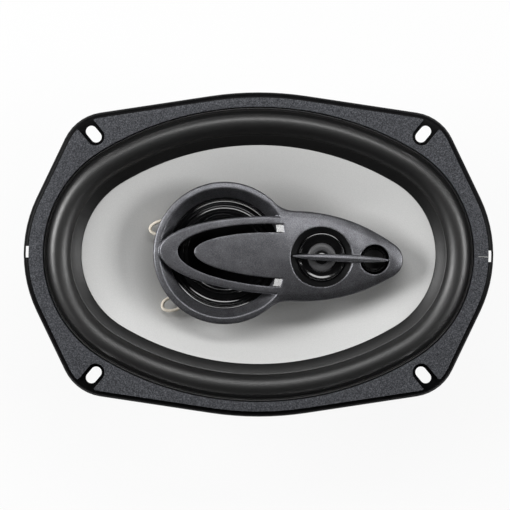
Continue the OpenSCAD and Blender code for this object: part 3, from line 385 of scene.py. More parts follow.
def paint_black():
    """Enamel, duller and less reflecting on the front than behind it."""
    s = Surface("black_enamel", (0.003, 0.003, 0.0032), 0.24, spec=0.3)
    s.colour(s.noise(260, 5), (0.3, (0.002, 0.002, 0.0022)), (0.7, (0.0045, 0.0045, 0.005)))
    front = s.ramp(s.math("MULTIPLY", s.math("ADD", s.split()[2], 0.004), 300.0), (0.0, 0.0), (1.0, 1.0))
    dull = blend_of(s, front, 0.12, s.noise(900, 4), 0.2)
    s.link(s.math("ADD", dull, 0.14), s.bsdf.inputs["Roughness"])
    s.link(s.math("SUBTRACT", 0.3, s.math("MULTIPLY", front, 0.24)), s.bsdf.inputs["Specular IOR Level"])
    s.bump(s.noise(420, 3), 0.1, 0.0003)
    s.bump(s.noise(5200, 2), 0.08, 0.00006)
    return s.mat


def fibre_board():
    s = Surface("grey_fibre", (0.08, 0.082, 0.092), 0.88, spec=0.3)
    n = s.noise(1500, 6, 0.8)
    s.colour(n, (0.36, (0.014, 0.015, 0.018)), (0.5, (0.05, 0.052, 0.059)), (0.64, (0.15, 0.155, 0.17)))
    s.roughness(s.noise(2400, 4), 0.75, 0.92)
    s.bump(s.noise(2600, 5, 0.7), 0.6, 0.0005)
    return s.mat


def rubber(name, spec):
    s = Surface(name, (0.003, 0.0029, 0.0029), 0.42, spec=spec)
    n = s.noise(2600, 5, 0.7)
    shades = (0.001, 0.001, 0.001), (0.0028, 0.0027, 0.0027), (0.007, 0.0068, 0.0067)
    s.colour(n, *zip((0.38, 0.5, 0.62), shades))
    s.roughness(s.noise(1500, 4), 0.36, 0.48)
    s.bump(s.noise(2600, 4, 0.65), 0.3, 0.0002)
    return s.mat


def cone_plastic():
    s = Surface("pale_cone", (0.62, 0.62, 0.612), 0.36, spec=0.5)
    n = s.noise(2600, 5, 0.65)
    s.colour(n, (0.34, (0.575, 0.577, 0.57)), (0.66, (0.66, 0.66, 0.652)))
    s.roughness(s.noise(1900, 4), 0.32, 0.44)
    s.bump(s.noise(3200, 4, 0.6), 0.1, 0.00015)
    return s.mat


def pod_plastic():
    s = Surface("charcoal_finish", (0.165, 0.166, 0.179), 0.45, metal=1.0)
    n = blend_of(s, s.noise(3000, 5, 0.75), 0.85, s.noise(210, 3), 0.15)
    s.colour(n, (0.36, (0.076, 0.077, 0.084)), (0.5, (0.165, 0.166, 0.179)), (0.64, (0.315, 0.317, 0.337)))
    s.roughness(s.noise(2600, 4), 0.4, 0.5)
    s.bump(s.noise(3000, 4, 0.65), 0.3, 0.0002)
    return s.mat


def gloss_black(name, rough):
    return mottled(
        name, (0.003, 0.003, 0.0032), rough, ((500, 4), (0.002, 0.002, 0.0022), (0.0045, 0.0045, 0.0048)),
        ((1300, 4), rough * 0.85, rough * 1.25), ((300, 2), 0.02, 0.0001), spec=0.85,
    )


def steel(name, colour, rough, rings=True):
    s = Surface(name, colour, rough, metal=1.0)
    n = s.noise(380, 6, 0.6)
    lo = tuple(c * 0.86 for c in colour)
    hi = tuple(min(1, c * 1.08) for c in colour)
    s.colour(n, (0.3, lo), (0.7, hi))
    s.roughness(s.noise(900, 5), rough * 0.8, rough * 1.25)
    if rings:
        marks = s.math("ADD", s.wave(s.radius(), 2600), s.math("MULTIPLY", s.noise(1500, 4), 1.4))
        s.bump(marks, 0.12, 0.00008)
    else:
        s.bump(s.noise(1800, 4), 0.15, 0.00012)
    return s.mat


def ferrite():
    s = Surface("ferrite", (0.035, 0.035, 0.037), 0.62, spec=0.45)
    n = blend_of(s, s.noise(1400, 6, 0.7), 0.6, s.noise(160, 4), 0.4)
    s.colour(n, (0.34, (0.022, 0.022, 0.024)), (0.66, (0.052, 0.052, 0.055)))
    s.roughness(s.noise(700, 4), 0.52, 0.72)
    s.bump(s.noise(1700, 5, 0.65), 0.35, 0.0004)
    return s.mat


def cloth_tan():
    s = Surface("treated_cloth", (0.42, 0.30, 0.13), 0.8, spec=0.25, sheen=0.2)
    o = s.split()
    warp, weft = s.wave(o[0], 1700), s.wave(o[1], 1700)
    weave = s.math("MULTIPLY", warp, weft)
    n = blend_of(s, s.noise(600, 5), 0.8, weave, 0.1)
    s.colour(n, (0.28, (0.28, 0.19, 0.075)), (0.55, (0.46, 0.33, 0.14)))
    s.roughness(s.noise(900, 4), 0.7, 0.88)
    s.bump(weave, 0.5, 0.00015)
    return s.mat


def braid():
    s = Surface("braid", (0.55, 0.43, 0.27), 0.6, spec=0.4, sheen=0.2)
    n = blend_of(s, s.noise(2600, 4), 0.7, s.noise(500, 3), 0.3)
    s.colour(n, (0.34, (0.68, 0.58, 0.43)), (0.52, (0.88, 0.81, 0.69)), (0.68, (0.94, 0.9, 0.81)))
    s.roughness(s.noise(1800, 3), 0.5, 0.7)
    s.bump(s.noise(3800, 3), 0.4, 0.0002)
    return s.mat


def copper():
    s = Surface("copper_wire", (0.72, 0.33, 0.16), 0.32, metal=1.0, coat=0.4)
    s.colour(s.noise(900, 4), (0.3, (0.58, 0.25, 0.11)), (0.7, (0.80, 0.40, 0.21)))
    s.roughness(s.noise(1200, 3), 0.26, 0.4)
    s.bump(s.wave(s.split()[2], 4000), 0.5, 0.0001)
    return s.mat


def phenolic():
    s = Surface("brown_board", (0.15, 0.075, 0.03), 0.5)
    n = s.noise(260, 5, 0.6, stretch=(1, 5, 1))
    s.colour(n, (0.32, (0.105, 0.05, 0.02)), (0.68, (0.20, 0.105, 0.045)))
    s.roughness(s.noise(1200, 4), 0.42, 0.58)
    s.bump(s.noise(2200, 4), 0.15, 0.0001)
    return s.mat


M = {
    "glue": mottled(
        "pale_glue", (0.5, 0.5, 0.48), 0.4, ((900, 4), (0.36, 0.36, 0.34), (0.60, 0.60, 0.58)),
        ((1200, 4), 0.3, 0.5), ((1500, 4), 0.3, 0.0002),
    ),
    "enamel": paint_black(),
    "fibre": fibre_board(),
    "rubber": rubber("satin_rubber", 1.0),
    "lip": rubber("dull_rubber", 0.5),
    "cone": cone_plastic(),
    "pod": pod_plastic(),
    "shell": mottled(
        "black_shell", (0.016, 0.016, 0.018), 0.5, ((900, 5), (0.011, 0.011, 0.012), (0.022, 0.022, 0.024)),
        ((1500, 4), 0.42, 0.58), ((2600, 4), 0.25, 0.0002),
    ),
    "gloss": gloss_black("gloss_black", 0.09),
    "satin_black": gloss_black("satin_black", 0.26),
    # painted shade: a near-black for the tweeters' mouths in the pod moulding, which lie in shade; the super
    # tweeter's disc has it too
    "deep": mottled(
        "deep_black", (0.004, 0.004, 0.0043), 0.42, ((700, 4), (0.003, 0.003, 0.0032), (0.0055, 0.0055, 0.006)),
        ((1500, 4), 0.36, 0.5), ((2600, 4), 0.2, 0.00015), spec=0.35,
    ),
    "dome": mottled(
        "grey_dome", (0.06, 0.06, 0.063), 0.42, ((3000, 4), (0.045, 0.045, 0.047), (0.08, 0.08, 0.083)),
        ((2000, 4), 0.36, 0.5), ((5000, 3), 0.2, 0.0001),
    ),
    "zinc": steel("zinc_steel", (0.55, 0.55, 0.56), 0.34),
    "plain_steel": steel("plain_steel", (0.5, 0.5, 0.51), 0.3, rings=False),
    "dark_steel": steel("dark_steel", (0.09, 0.09, 0.1), 0.4, rings=False),
    "ferrite": ferrite(),
    "cloth": cloth_tan(),
    "braid": braid(),
    "kapton": mottled(
        "amber_film", (0.38, 0.17, 0.03), 0.28, ((420, 4), (0.30, 0.125, 0.02), (0.45, 0.21, 0.045)),
        ((900, 4), 0.22, 0.36), ((1100, 3), 0.08, 0.0001), coat=0.3,
    ),
    "copper": copper(),
    "board": phenolic(),
    "tinned": mottled(
        "tinned_brass", (0.66, 0.63, 0.55), 0.3, ((700, 5), (0.55, 0.52, 0.44), (0.74, 0.72, 0.65)),
        ((1500, 4), 0.22, 0.42), ((1600, 4, 0.55, (1, 6, 1)), 0.12, 0.0001), metal=1.0,
    ),
    "brass": mottled(
        "brass", (0.66, 0.47, 0.2), 0.3, ((900, 5), (0.52, 0.36, 0.14), (0.74, 0.54, 0.25)),
        ((1500, 4), 0.24, 0.4), ((1600, 4), 0.12, 0.0001), metal=1.0,
    ),
    "felt": mottled(
        "black_felt", (0.015, 0.015, 0.015), 0.95, ((2600, 6, 0.7), (0.008, 0.008, 0.008), (0.03, 0.03, 0.03)),
        ((2000, 3), 0.9, 1.0), ((3000, 5, 0.7), 0.8, 0.0004), spec=0.2, sheen=0.3,
    ),
    "sleeve": mottled(
        "capacitor_sleeve", (0.03, 0.05, 0.13), 0.35, ((700, 4), (0.022, 0.038, 0.10), (0.042, 0.066, 0.16)),
        ((1200, 4), 0.28, 0.42), ((900, 3), 0.1, 0.0001), coat=0.3,
    ),
}

NODES_WITH = {
    "enamel": "basket",
    "fibre": "gasket",
    "rubber": "surround mid_surround",
    "cone": "cone",
    "kapton": "voice_coil_former",
    "copper": "voice_coil mid_coil tweeter_coil",
    "cloth": "spider",
    "felt": "dust_seal",
    "zinc": "top_plate back_plate",
    "ferrite": "magnet mid_magnet",
    "plain_steel": "frame_rivets centre_post mid_frame mid_top_plate mid_yoke"
                   " tweeter_cup tweeter_magnet tweeter_pole",
    "dark_steel": "pod_screws",
    "brass": "post_nut lead_eyelets terminal_rivets",
    "shell": "pod_base",
    "pod": "pod_cover",
    "gloss": "mid_trim mid_cone tweeter_face tweeter_cap",
    "dome": "tweeter_ring",
    "satin_black": "super_tweeter_cup",
    "deep": "super_tweeter_disc",
    "sleeve": "capacitors",
    "braid": "lead_upper lead_lower rear_lead_upper rear_lead_lower",
    "board": "terminal_board",
    "tinned": "terminal_wide terminal_narrow",
}
NODE_FINISH = {node: finish for finish, names in NODES_WITH.items() for node in names.split()}


# CAD solids that stay: smooth shading over small angles, by a modifier
SMOOTH_BELOW = math.radians(32)
WELD = 2e-6


def shading_group():
    g = bpy.data.node_groups.new("soft_shading", "GeometryNodeTree")
    g.interface.new_socket("Geometry", in_out="INPUT", socket_type="NodeSocketGeometry")
    g.interface.new_socket("Geometry", in_out="OUTPUT", socket_type="NodeSocketGeometry")
    start, end = g.nodes.new("NodeGroupInput"), g.nodes.new("NodeGroupOutput")
    bare = g.nodes.new("GeometryNodeRemoveAttribute")
    bare.inputs["Name"].default_value = "custom_normal"
    weld = g.nodes.new("GeometryNodeMergeByDistance")
    weld.inputs["Distance"].default_value = WELD
    faces = g.nodes.new("GeometryNodeSetShadeSmooth")
    faces.domain = "FACE"
    edges = g.nodes.new("GeometryNodeSetShadeSmooth")
    edges.domain = "EDGE"
    angle = g.nodes.new("GeometryNodeInputMeshEdgeAngle")
    test = g.nodes.new("FunctionNodeCompare")
    test.data_type = "FLOAT"
    test.operation = "LESS_THAN"
    test.inputs[1].default_value = SMOOTH_BELOW
    g.links.new(angle.outputs["Unsigned Angle"], test.inputs[0])
    g.links.new(test.outputs[0], edges.inputs["Shade Smooth"])
    chain = [start, bare, weld, faces, edges, end]
    for a, b in zip(chain, chain[1:]):
        g.links.new(a.outputs[0], b.inputs[0])
    return g


soft_shading = shading_group()
for name, obj in nodes.items():
    obj.data.materials.clear()
    obj.data.materials.append(M[NODE_FINISH[name]])
    for poly in obj.data.polygons:
        poly.material_index = 0
    obj.modifiers.new("soft_shading", "NODES").node_group = soft_shading


# Surround: foot, bead, half roll and lip
def surround_piece():
    c, r = LIP_W + ROLL_W / 2, ROLL_W / 2
    z = LEDGE_Z
    wide, side = r - 1.0, ROLL_OUT - 1.6 - c
    bead = (ROLL_OUT - 0.6, z + 3.5)
    top = [(FOOT_OUT, z + 0.12), (FOOT_OUT - 0.12, z + RUBBER_T - 0.1), (FOOT_OUT - 0.3, z + RUBBER_T)]
    top += [(ROLL_OUT + 0.4, z + RUBBER_T), (ROLL_OUT + 0.1, z + RUBBER_T + 0.25), (ROLL_OUT, z + 1.4)]
    top += [(ROLL_OUT - 0.02, z + 2.8), (ROLL_OUT - 0.1, z + 3.05), (ROLL_OUT - 0.22, z + 3.25)]
    top += [tuple(p) for p in arc2(*bead, 0.35, 0, 180, 8)]
    top += [(ROLL_OUT - 1.0, z + 3.1), (ROLL_OUT - 1.15, z + 2.85), (ROLL_OUT - 1.4, z + 2.8)]
    for t in np.linspace(math.acos(side / wide), math.pi / 2, 18):
        top.append((c + wide * math.cos(t), z + r * math.sin(t)))
    top += [tuple(p) for p in arc2(c, z, r, 95, 161, 16)]
    top += [(LIP_W + 0.3, z + 1.95), (LIP_W, z + 1.8), (LIP_W - 0.35, z + 1.68)]
    top += [(2.4, z + 0.42), (0.45, z - 0.75), (0.2, z - 0.98), (0.04, z - 1.2), (0.0, z - LIP_FALL + 0.05)]
    low = [(0.0, z - LIP_FALL + 0.02), (2.0, z - 0.8), (LIP_W + 0.3, z + 0.02)]
    low += [tuple(p) for p in arc2(c, z, r - RUBBER_T, 175, 90, 10)]
    for t in np.radians(np.linspace(85, 5, 10)):
        low.append((c + (wide - RUBBER_T) * math.cos(t), z + (r - RUBBER_T) * math.sin(t)))
    low += [(ROLL_OUT - 1.0, z + 0.02), (FOOT_OUT, z + 0.02)]
    profile = top + low
    obj = oval_loft("surround_roll", profile, M["rubber"])
    obj.data.materials.append(M["lip"])
    for f in obj.data.polygons:
        row = min(f.vertices) // OVAL_N
        f.material_index = int(max(profile[row][0], profile[(row + 1) % len(profile)][0]) < LIP_W + 0.1)
    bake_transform(obj)
    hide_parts("surround")


surround_piece()


# Cone: oval mouth drawn down to the round neck, with its collar and glued edge
def cone_piece():
    mouth, edge = oval(0), oval(LIP_W - 0.8)
    away = mouth / np.linalg.norm(mouth, axis=1)[:, None]
    neck, collar, thick = LEDGE_Z - CONE_DEPTH, 2.6, CONE_T * 1.25

    def level(points, z):
        return np.c_[points, np.full(len(points), z)]

    def wall(t, low):
        drop = cone_drop(t) + LIP_FALL * max(0.0, 1 - t / 0.4) ** 2
        return level(mouth + (NECK_R * away - mouth) * t, LEDGE_Z - low - drop)

    rings = [level(edge, LEDGE_Z - 0.02)]
    rings += [wall(t, 0.02) for t in np.linspace(0, 1, 41)]
    rings += [level(NECK_R * away, neck - collar)]
    rings += [level((NECK_R + CONE_T) * away, neck - low) for low in (collar, thick)]
    rings += [wall(t, thick) for t in np.linspace(1, 0, 20)[1:]]
    rings += [level(edge, LEDGE_Z - CONE_T)]
    obj = new_object("cone_body", np.vstack(rings), ring_faces(len(rings), len(edge)), M["cone"])
    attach(obj, "woofer")
    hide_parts("cone")


cone_piece()


# Spider: waved cloth between the former and the ledge
def spider_piece():
    first, flat = SPIDER_IN + 2, CUP_R - 1
    mid = SPIDER_Z + SPIDER_T / 2
    t = np.linspace(0, 1, 121)
    r = np.r_[first + (flat - first) * t, np.linspace(flat + 0.8, SPIDER_OUT, 6)]
    z = np.r_[mid + SPIDER_AMP * np.sin(2 * math.pi * SPIDER_WAVES * t), np.full(6, mid)]
    half = SPIDER_T / 2 - 0.02
    upper = [(a, b + half) for a, b in zip(r, z)]
    lower = [(a, b - half) for a, b in zip(r, z)][::-1]
    inner, outer, low = SPIDER_IN + 0.05, SPIDER_IN + SPIDER_T, mid - 1.5
    profile = upper + lower + [(outer, mid - half), (outer, low), (inner, low), (inner, mid + half)]
    n = 160
    obj = turned("spider_cloth", profile, M["cloth"], n=n)
    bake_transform(obj)
    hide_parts("spider")


spider_piece()


# Dust seal: a felt ring round the post
def dust_piece():
    a, b, z = 6.22, 12.48, NECK_Z
    profile = [(a, z + 0.2), (a + 0.2, z), (b - 0.2, z), (b, z + 0.2)]
    profile += [(b, z + 0.8), (b - 0.25, z + 1), (a + 0.25, z + 1), (a, z + 0.8)]
    obj = turned("dust_felt", profile, M["felt"], n=96, smooth_angle=60)
    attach(obj, "woofer")
    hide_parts("dust_seal")


dust_piece()


# Midrange and tweeters: a rubber roll, and turned pieces with the rounded edges that catch the light
MID_AT, TWEETER_AT = spin((-MID_X, 0.0)), spin((TWEETER_X, 0.0))
MID_ROLL_T = 0.35


def mid_surround_piece():
    c, z, t, n = MID_CONE_R + MID_ROLL_R, MID_EDGE_Z, MID_ROLL_T, 128
    top = [(c + MID_ROLL_R + 1, z + 0.02), (c + MID_ROLL_R + 1, z + t - 0.05), (c + MID_ROLL_R + 0.1, z + t)]
    top += [(a, z + t + 0.55 * (b - z - t)) for a, b in arc2(c, z, MID_ROLL_R, 14, 166, 20)]
    top += [(c - MID_ROLL_R - 0.1, z + t), (c - MID_ROLL_R - 1, z + t - 0.05), (c - MID_ROLL_R - 1, z + 0.02)]
    low = [(a, z + 0.55 * (b - z)) for a, b in arc2(c, z, MID_ROLL_R - t, 179, 1, 14)]
    profile = top + low
    obj = turned("midrange_roll", profile, M["gloss"], centre=MID_AT, n=n)
    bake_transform(obj)
    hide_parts("mid_surround")


mid_surround_piece()

solid_turned("midrange_trim", "mid_trim", "frame", MID_EDGE_Z + MID_ROLL_T, [
    (24.0, 0), (MID_FLANGE_R - 0.1, 0), (MID_FLANGE_R - 0.1, 0.8), (28.7, 1.4), (27.6, 1.4), (27.1, 1.2),
    (26.8, 0.7), (26.4, 0.7), (26.1, 1.2), (25.7, 1.3), (25.2, 0.95), (24.6, 0.68), (24.0, 0.5),
], 0.22, M["gloss"], MID_AT)
solid_turned("midrange_cone", "mid_cone", "midrange", MID_EDGE_Z, [
    (18.7, 0), (19.85, -0.02), (19.85, -0.5), (18.9, -0.5), (12.6, -3.8), (7.0, -6.6), (6.4, -6.6), (6.4, -6.0),
    (5.0, -4.4), (2.6, -3.5), (0, -3.2), (0, -2.7), (2.7, -3.0), (5.2, -3.9), (6.6, -5.5), (12.4, -3.1),
], 2.0, M["gloss"], MID_AT)
solid_turned("tweeter_plate", "tweeter_face", "frame", TWEETER_TOP, [
    (7.3, 0), (12.2, 0), (12.2, 0.7), (11.9, 1.1), (11.5, 1.2), (11.1, 0.95), (10.4, 0.62),
    (9.5, 0.38), (8.6, 0.32), (7.3, 0.5),
], 0.16, M["gloss"], TWEETER_AT)
solid_turned("tweeter_ring_dome", "tweeter_ring", "tweeter", TWEETER_TOP, [
    (3.5, 0.45), (5.2, 0.15), (7.1, 0.1), (7.1, 0.5), (6.3, 0.95), (5.2, 1.2), (4.2, 1.1), (3.5, 0.85),
], 0.5, M["dome"], TWEETER_AT)
solid_turned("tweeter_plug", "tweeter_cap", "tweeter", TWEETER_TOP, [
    (0, 0.45), (3.4, 0.45), (3.4, 0.95), (3, 1.55), (2.2, 2.05), (1.2, 2.35), (0, 2.45),
], 0.8, M["gloss"], TWEETER_AT)


# Tinsel leads: a twisted braid along the same routes as the solids
def curve_points(p, n):
    """A smooth curve through the points, n steps from each to the next."""
    p = np.asarray(p, float)
    out = []
    for i in range(len(p) - 1):
        a, b, c, d = p[max(i - 1, 0)], p[i], p[i + 1], p[min(i + 2, len(p) - 1)]
        k2, k3 = 2 * a - 5 * b + 4 * c - d, 3 * b - 3 * c + d - a
        for t in np.linspace(0, 1, n, endpoint=False):
            out.append(0.5 * (2 * b + (c - a) * t + k2 * t**2 + k3 * t**3))
    out.append(p[-1])
    return np.array(out)


def even_path(route, step):
    """Points at even steps along the route, and how far along each lies."""
    q = curve_points(route, 24)
    s = np.r_[0, np.cumsum(np.linalg.norm(np.diff(q, axis=0), axis=1))]
    at = np.linspace(0, s[-1], int(s[-1] / step) + 1)
    return np.stack([np.interp(at, s, q[:, i]) for i in range(3)], 1), at


def cone_point(e, up):
    """The point at a distance up above the cone, square to it."""
    x, y = e
    d = 0.5
    n = np.array([
        -(cone_z(x + d, y) - cone_z(x - d, y)) / (2 * d),
        -(cone_z(x, y + d) - cone_z(x, y - d)) / (2 * d),
        1.0,
    ])
    return np.array([x, y, cone_z(x, y)]) + up * n / np.linalg.norm(n)


EYELET_UPPER, EYELET_LOWER = (-38.0, 16.0), (-36.0, -17.0)
HOLE_UPPER, HOLE_LOWER = (-41.0, 9.0), (-33.0, -20.0)
BASE_LOW = 0.8
BOARD_R, BOARD_Z = CUP_R + 15, SPIDER_Z - 0.9
BRAID_STEP, BRAID_SIDES, BRAID_TWIST, BRAID_RIDGES, BRAID_RELIEF = 0.28, 20, 2.1, 2.5, 0.14


def under_pod(x, y, drop):
    return (x, y, BASE_LOW - drop)


def behind_cone(x, y, share):
    z = cone_z(x, y)
    return (x, y, z + (SPIDER_Z - z) * share)


def at_terminal(out, across, up):
    r = BOARD_R + out
    c, s = math.cos(TERMINAL_TURN), math.sin(TERMINAL_TURN)
    return (r * c - across * s, r * s + across * c, BOARD_Z + up)


def leaves_cone(f):
    return 1 - smooth((f - 0.12) / 0.78)


def joins_cone(f):
    return smooth((f - 0.15) / 0.75)


def lead_piece(name, node, route, body_share):
    """A braid along the route; body_share gives the woofer's share along it, which is worked out but not used.
    """
    q, at = even_path(route, BRAID_STEP)
    m, k = len(q), BRAID_SIDES
    head = np.gradient(q, axis=0)
    head /= np.linalg.norm(head, axis=1)[:, None]
    side = np.cross(head[0], (0.31, 0.52, 0.8))
    side /= np.linalg.norm(side)
    verts = []
    a = np.linspace(0, 2 * math.pi, k, endpoint=False)
    for i in range(m):
        side = side - head[i] * (side @ head[i])
        side /= np.linalg.norm(side)
        up = np.cross(head[i], side)
        turn = BRAID_TWIST * at[i] / BRAID_RIDGES
        r = BRAID_R * (1 - BRAID_RELIEF + BRAID_RELIEF * np.abs(np.cos(BRAID_RIDGES * (a - turn))))
        verts.append(q[i] + (r * np.cos(a))[:, None] * side + (r * np.sin(a))[:, None] * up)
    obj = new_object(name, np.vstack(verts), bar_faces(m, k), M["braid"], smooth_angle=50)
    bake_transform(obj)
    np.repeat(body_share(at / at[-1]), k)
    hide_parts(node)


hu, hl = HOLE_UPPER, HOLE_LOWER
lead_piece("front_lead_upper", "lead_upper", [
    cone_point(EYELET_UPPER, 1.8), cone_point(EYELET_UPPER, 3.4), under_pod(-48, 17, 7.4),
    under_pod(-53.6, 15, 5.8), under_pod(-54.6, 12, 5.6), under_pod(-51, 10, 6), under_pod(-45, 9, 6.8),
    under_pod(hu[0] - 0.6, hu[1], 6.2), under_pod(hu[0], hu[1], 4), under_pod(hu[0], hu[1], 2.2),
], leaves_cone)
lead_piece("front_lead_lower", "lead_lower", [
    cone_point(EYELET_LOWER, 1.8), cone_point(EYELET_LOWER, 3.4), under_pod(-43.6, -21, 7.2),
    under_pod(-48, -24, 5.6), under_pod(-48, -27.4, 4.8), under_pod(-44, -28.4, 4.8), under_pod(-39, -26.6, 5.8),
    under_pod(hl[0] - 1.2, hl[1] - 1.8, 7), under_pod(hl[0], hl[1], 5.4), under_pod(hl[0], hl[1], 3.6),
], leaves_cone)
sa, sb = -TERMINAL_GAP / 2, TERMINAL_GAP / 2
lead_piece("back_lead_upper", "rear_lead_upper", [
    at_terminal(-4, sa, 1.5), at_terminal(-4, sa, 2.9), at_terminal(3, sa - 5, 7), at_terminal(4, sa - 10, 11),
    behind_cone(-56, -27, 0.6), behind_cone(-54, -8, 0.44), behind_cone(-48, 6, 0.34),
    cone_point(EYELET_UPPER, -5), cone_point(EYELET_UPPER, -2.4),
], joins_cone)
lead_piece("back_lead_lower", "rear_lead_lower", [
    at_terminal(-4, sb, 1.5), at_terminal(-4, sb, 2.9), at_terminal(3, sb + 5, 7), at_terminal(4, sb + 9, 11),
    behind_cone(-32, -48, 0.63), behind_cone(-36, -34, 0.51), behind_cone(-37, -24, 0.41),
    cone_point(EYELET_LOWER, -5), cone_point(EYELET_LOWER, -2.4),
], joins_cone)


# Gasket: the CAD shape with its edges rounded, and the glued joint at one end
MOUTH_R, RIM_EDGE_R = 0.0018, 0.0003


def gasket_piece():
    mesh = nodes["gasket"].data.copy()
    obj = bpy.data.objects.new("gasket_fibre", mesh)
    scene.collection.objects.link(obj)
    if mesh.has_custom_normals:
        mesh.attributes.remove(mesh.attributes["custom_normal"])
    bm = bmesh.new()
    bm.from_mesh(mesh)
    bmesh.ops.remove_doubles(bm, verts=bm.verts, dist=WELD)
    bmesh.ops.dissolve_limit(bm, angle_limit=math.radians(1), verts=bm.verts, edges=bm.edges)
    top = max(v.co.z for v in bm.verts)
    mouth = [e for e in bm.edges if e.is_manifold and e.calc_face_angle(0) > math.radians(50)
             and abs(e.verts[0].co.z - e.verts[1].co.z) > 0.0025]
    bmesh.ops.bevel(bm, geom=mouth, offset=MOUTH_R, segments=5, profile=0.5, affect="EDGES", clamp_overlap=True)
    rim = [e for e in bm.edges if e.is_manifold and e.calc_face_angle(0) > math.radians(60)
           and all(v.co.z > top - 1e-5 for v in e.verts)]
    bmesh.ops.bevel(bm, geom=rim, offset=RIM_EDGE_R, segments=3, profile=0.5, affect="EDGES", clamp_overlap=True)
    for f in bm.faces:
        f.smooth = True
    for e in bm.edges:
        e.smooth = e.is_manifold and e.calc_face_angle(0) < SMOOTH_BELOW
    bm.to_mesh(mesh)
    bm.free()
    mesh.materials.clear()
    mesh.materials.append(M["fibre"])
    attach(obj, "frame")
    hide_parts("gasket")


gasket_piece()


def gasket_joint():
    """The glued butt joint of the fibre ring: a thin bead of pale glue."""
    n, half, z = 18, 0.2, RIM_H + 3.0
    start, length, across = 109.6, 5.0, -1.2
    rows = []
    for i in range(n + 1):
        t = i / n
        x, y = start + length * t, across + 0.12 * math.sin(5.1 * t) + 0.05 * math.sin(17 * t)
        w = half * (0.75 + 0.25 * math.sin(9 * t + 1)) * min(1, 6 * t + 0.3, 6 * (1 - t) + 0.3)
        section = [(-w, -0.15), (-w, 0.02), (-0.4 * w, 0.12), (0.4 * w, 0.12), (w, 0.02), (w, -0.15)]
        rows += [(x, y + dy, z + dz) for dy, dz in section]
    obj = new_object("gasket_joint", rows, bar_faces(n + 1, 6), M["glue"], smooth_angle=60)
    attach(obj, "frame")


gasket_joint()


# Pod cover: a distance field meshed as one skin, so that every edge has its moulded radius
def tail_half(x):
    """Half the tail's width."""
    side = np.sqrt(np.maximum(TAIL_R**2 - np.maximum(x - TAIL_X, 0) ** 2, 0)) - TAIL_R + TAIL_HALF
    tip = np.sqrt(np.maximum(TIP_R**2 - (x - TIP_X) ** 2, 0))
    return np.where(x <= TAIL_END, side, tip)


def crown(x):
    """Height of the pod's top along its middle."""
    sink = np.where(x > HOOD_C, CROWN_SINK_RIGHT, CROWN_SINK_LEFT)
    return CROWN_Z - sink * ((x - HOOD_C) / CROWN_REACH) ** 2


def tail_plan(x, ay):
    """Distance outside the tail's plan."""
    big = np.hypot(np.maximum(x - TAIL_X, 0), ay + TAIL_R - TAIL_HALF) - TAIL_R
    tip = np.hypot(x - TIP_X, ay) - TIP_R
    cy = TAIL_HALF - TAIL_R
    beyond = (x - TAIL_X) * -cy - (ay - cy) * TAIL_DX > 0
    return np.where(beyond, tip, big)


def ellipse(x, y, a, b):
    """Distance outside an ellipse, nearly."""
    k0 = np.hypot(x / a, y / b)
    k1 = np.hypot(x / a**2, y / b**2)
    return np.where(k1 > 1e-9, k0 * (k0 - 1) / np.maximum(k1, 1e-9), -min(a, b))


def hood_plan(x, ay):
    return np.where(x < HOOD_C, ellipse(x - HOOD_C, ay, HOOD_A, HOOD_B), ay - HOOD_B)


def both(a, b, r):
    """Inside a and b, with the edge between them rounded."""
    u, v = a + r, b + r
    return np.minimum(np.maximum(u, v), 0) + np.hypot(np.maximum(u, 0), np.maximum(v, 0)) - r


def either(a, b, k):
    """Inside a or b, with the corner between them filled."""
    h = np.clip(0.5 + 0.5 * (b - a) / k, 0, 1)
    return b + (a - b) * h - k * h * (1 - h)


def in_outline(px, py, points):
    """Distance outside a closed outline of straight lines."""
    n = len(points)
    d = np.full(px.shape, 1e9)
    inside = np.zeros(px.shape, bool)
    for i in range(n):
        ax, ay = points[i]
        bx, by = points[(i + 1) % n]
        ex, ey = bx - ax, by - ay
        wx, wy = px - ax, py - ay
        t = np.clip((wx * ex + wy * ey) / (ex * ex + ey * ey), 0, 1)
        d = np.minimum(d, (wx - ex * t) ** 2 + (wy - ey * t) ** 2)
        if ay != by:
            cross = ((ay > py) != (by > py)) & (px < (bx - ax) * (py - ay) / (by - ay) + ax)
            inside ^= cross
    return np.where(inside, -1, 1) * np.sqrt(d)


def slot_end(x, z):
    """Distance past the slanted ends of the hood's slot."""
    return (x - SLOT_END_X + (CROWN_Z - SLOT_END_SINK - z) * SLOT_END_SLOPE) / SLOT_END_LENGTH


def slot_field(x, y, z):
    """Distance outside the slot of the hood."""
    ay = np.abs(y)
    slot = np.maximum(ellipse(x - HOOD_C, y, *SLOT_OUT), -ellipse(x - HOOD_C, y, *SLOT_IN))
    slot = np.where(x > HOOD_C, np.maximum(ay - SLOT_OUT[1], SLOT_IN[1] - ay), slot)
    return np.maximum.reduce([slot, slot_end(x, z), SLOT_LOW - z])


def mouth_field(x, y, z):
    """Distance outside the mouths of both tweeters."""
    tweeter = in_outline(np.hypot(x - TWEETER_X, y), z, TWEETER_MOUTH)
    return np.minimum(tweeter, in_outline(np.hypot(x - SUPER_X, y), z, SUPER_MOUTH))


def crown_top(x, ay):
    """Height of the pod's top, which falls away to both sides."""
    s = smooth((x - 4) / 12)
    half = HOOD_B * (1 - s) + np.maximum(tail_half(x), CROWN_HALF) * s
    return crown(x) - (HOOD_FALL + (CROWN_FALL - HOOD_FALL) * s) * np.minimum(ay / half, 1.3) ** 2


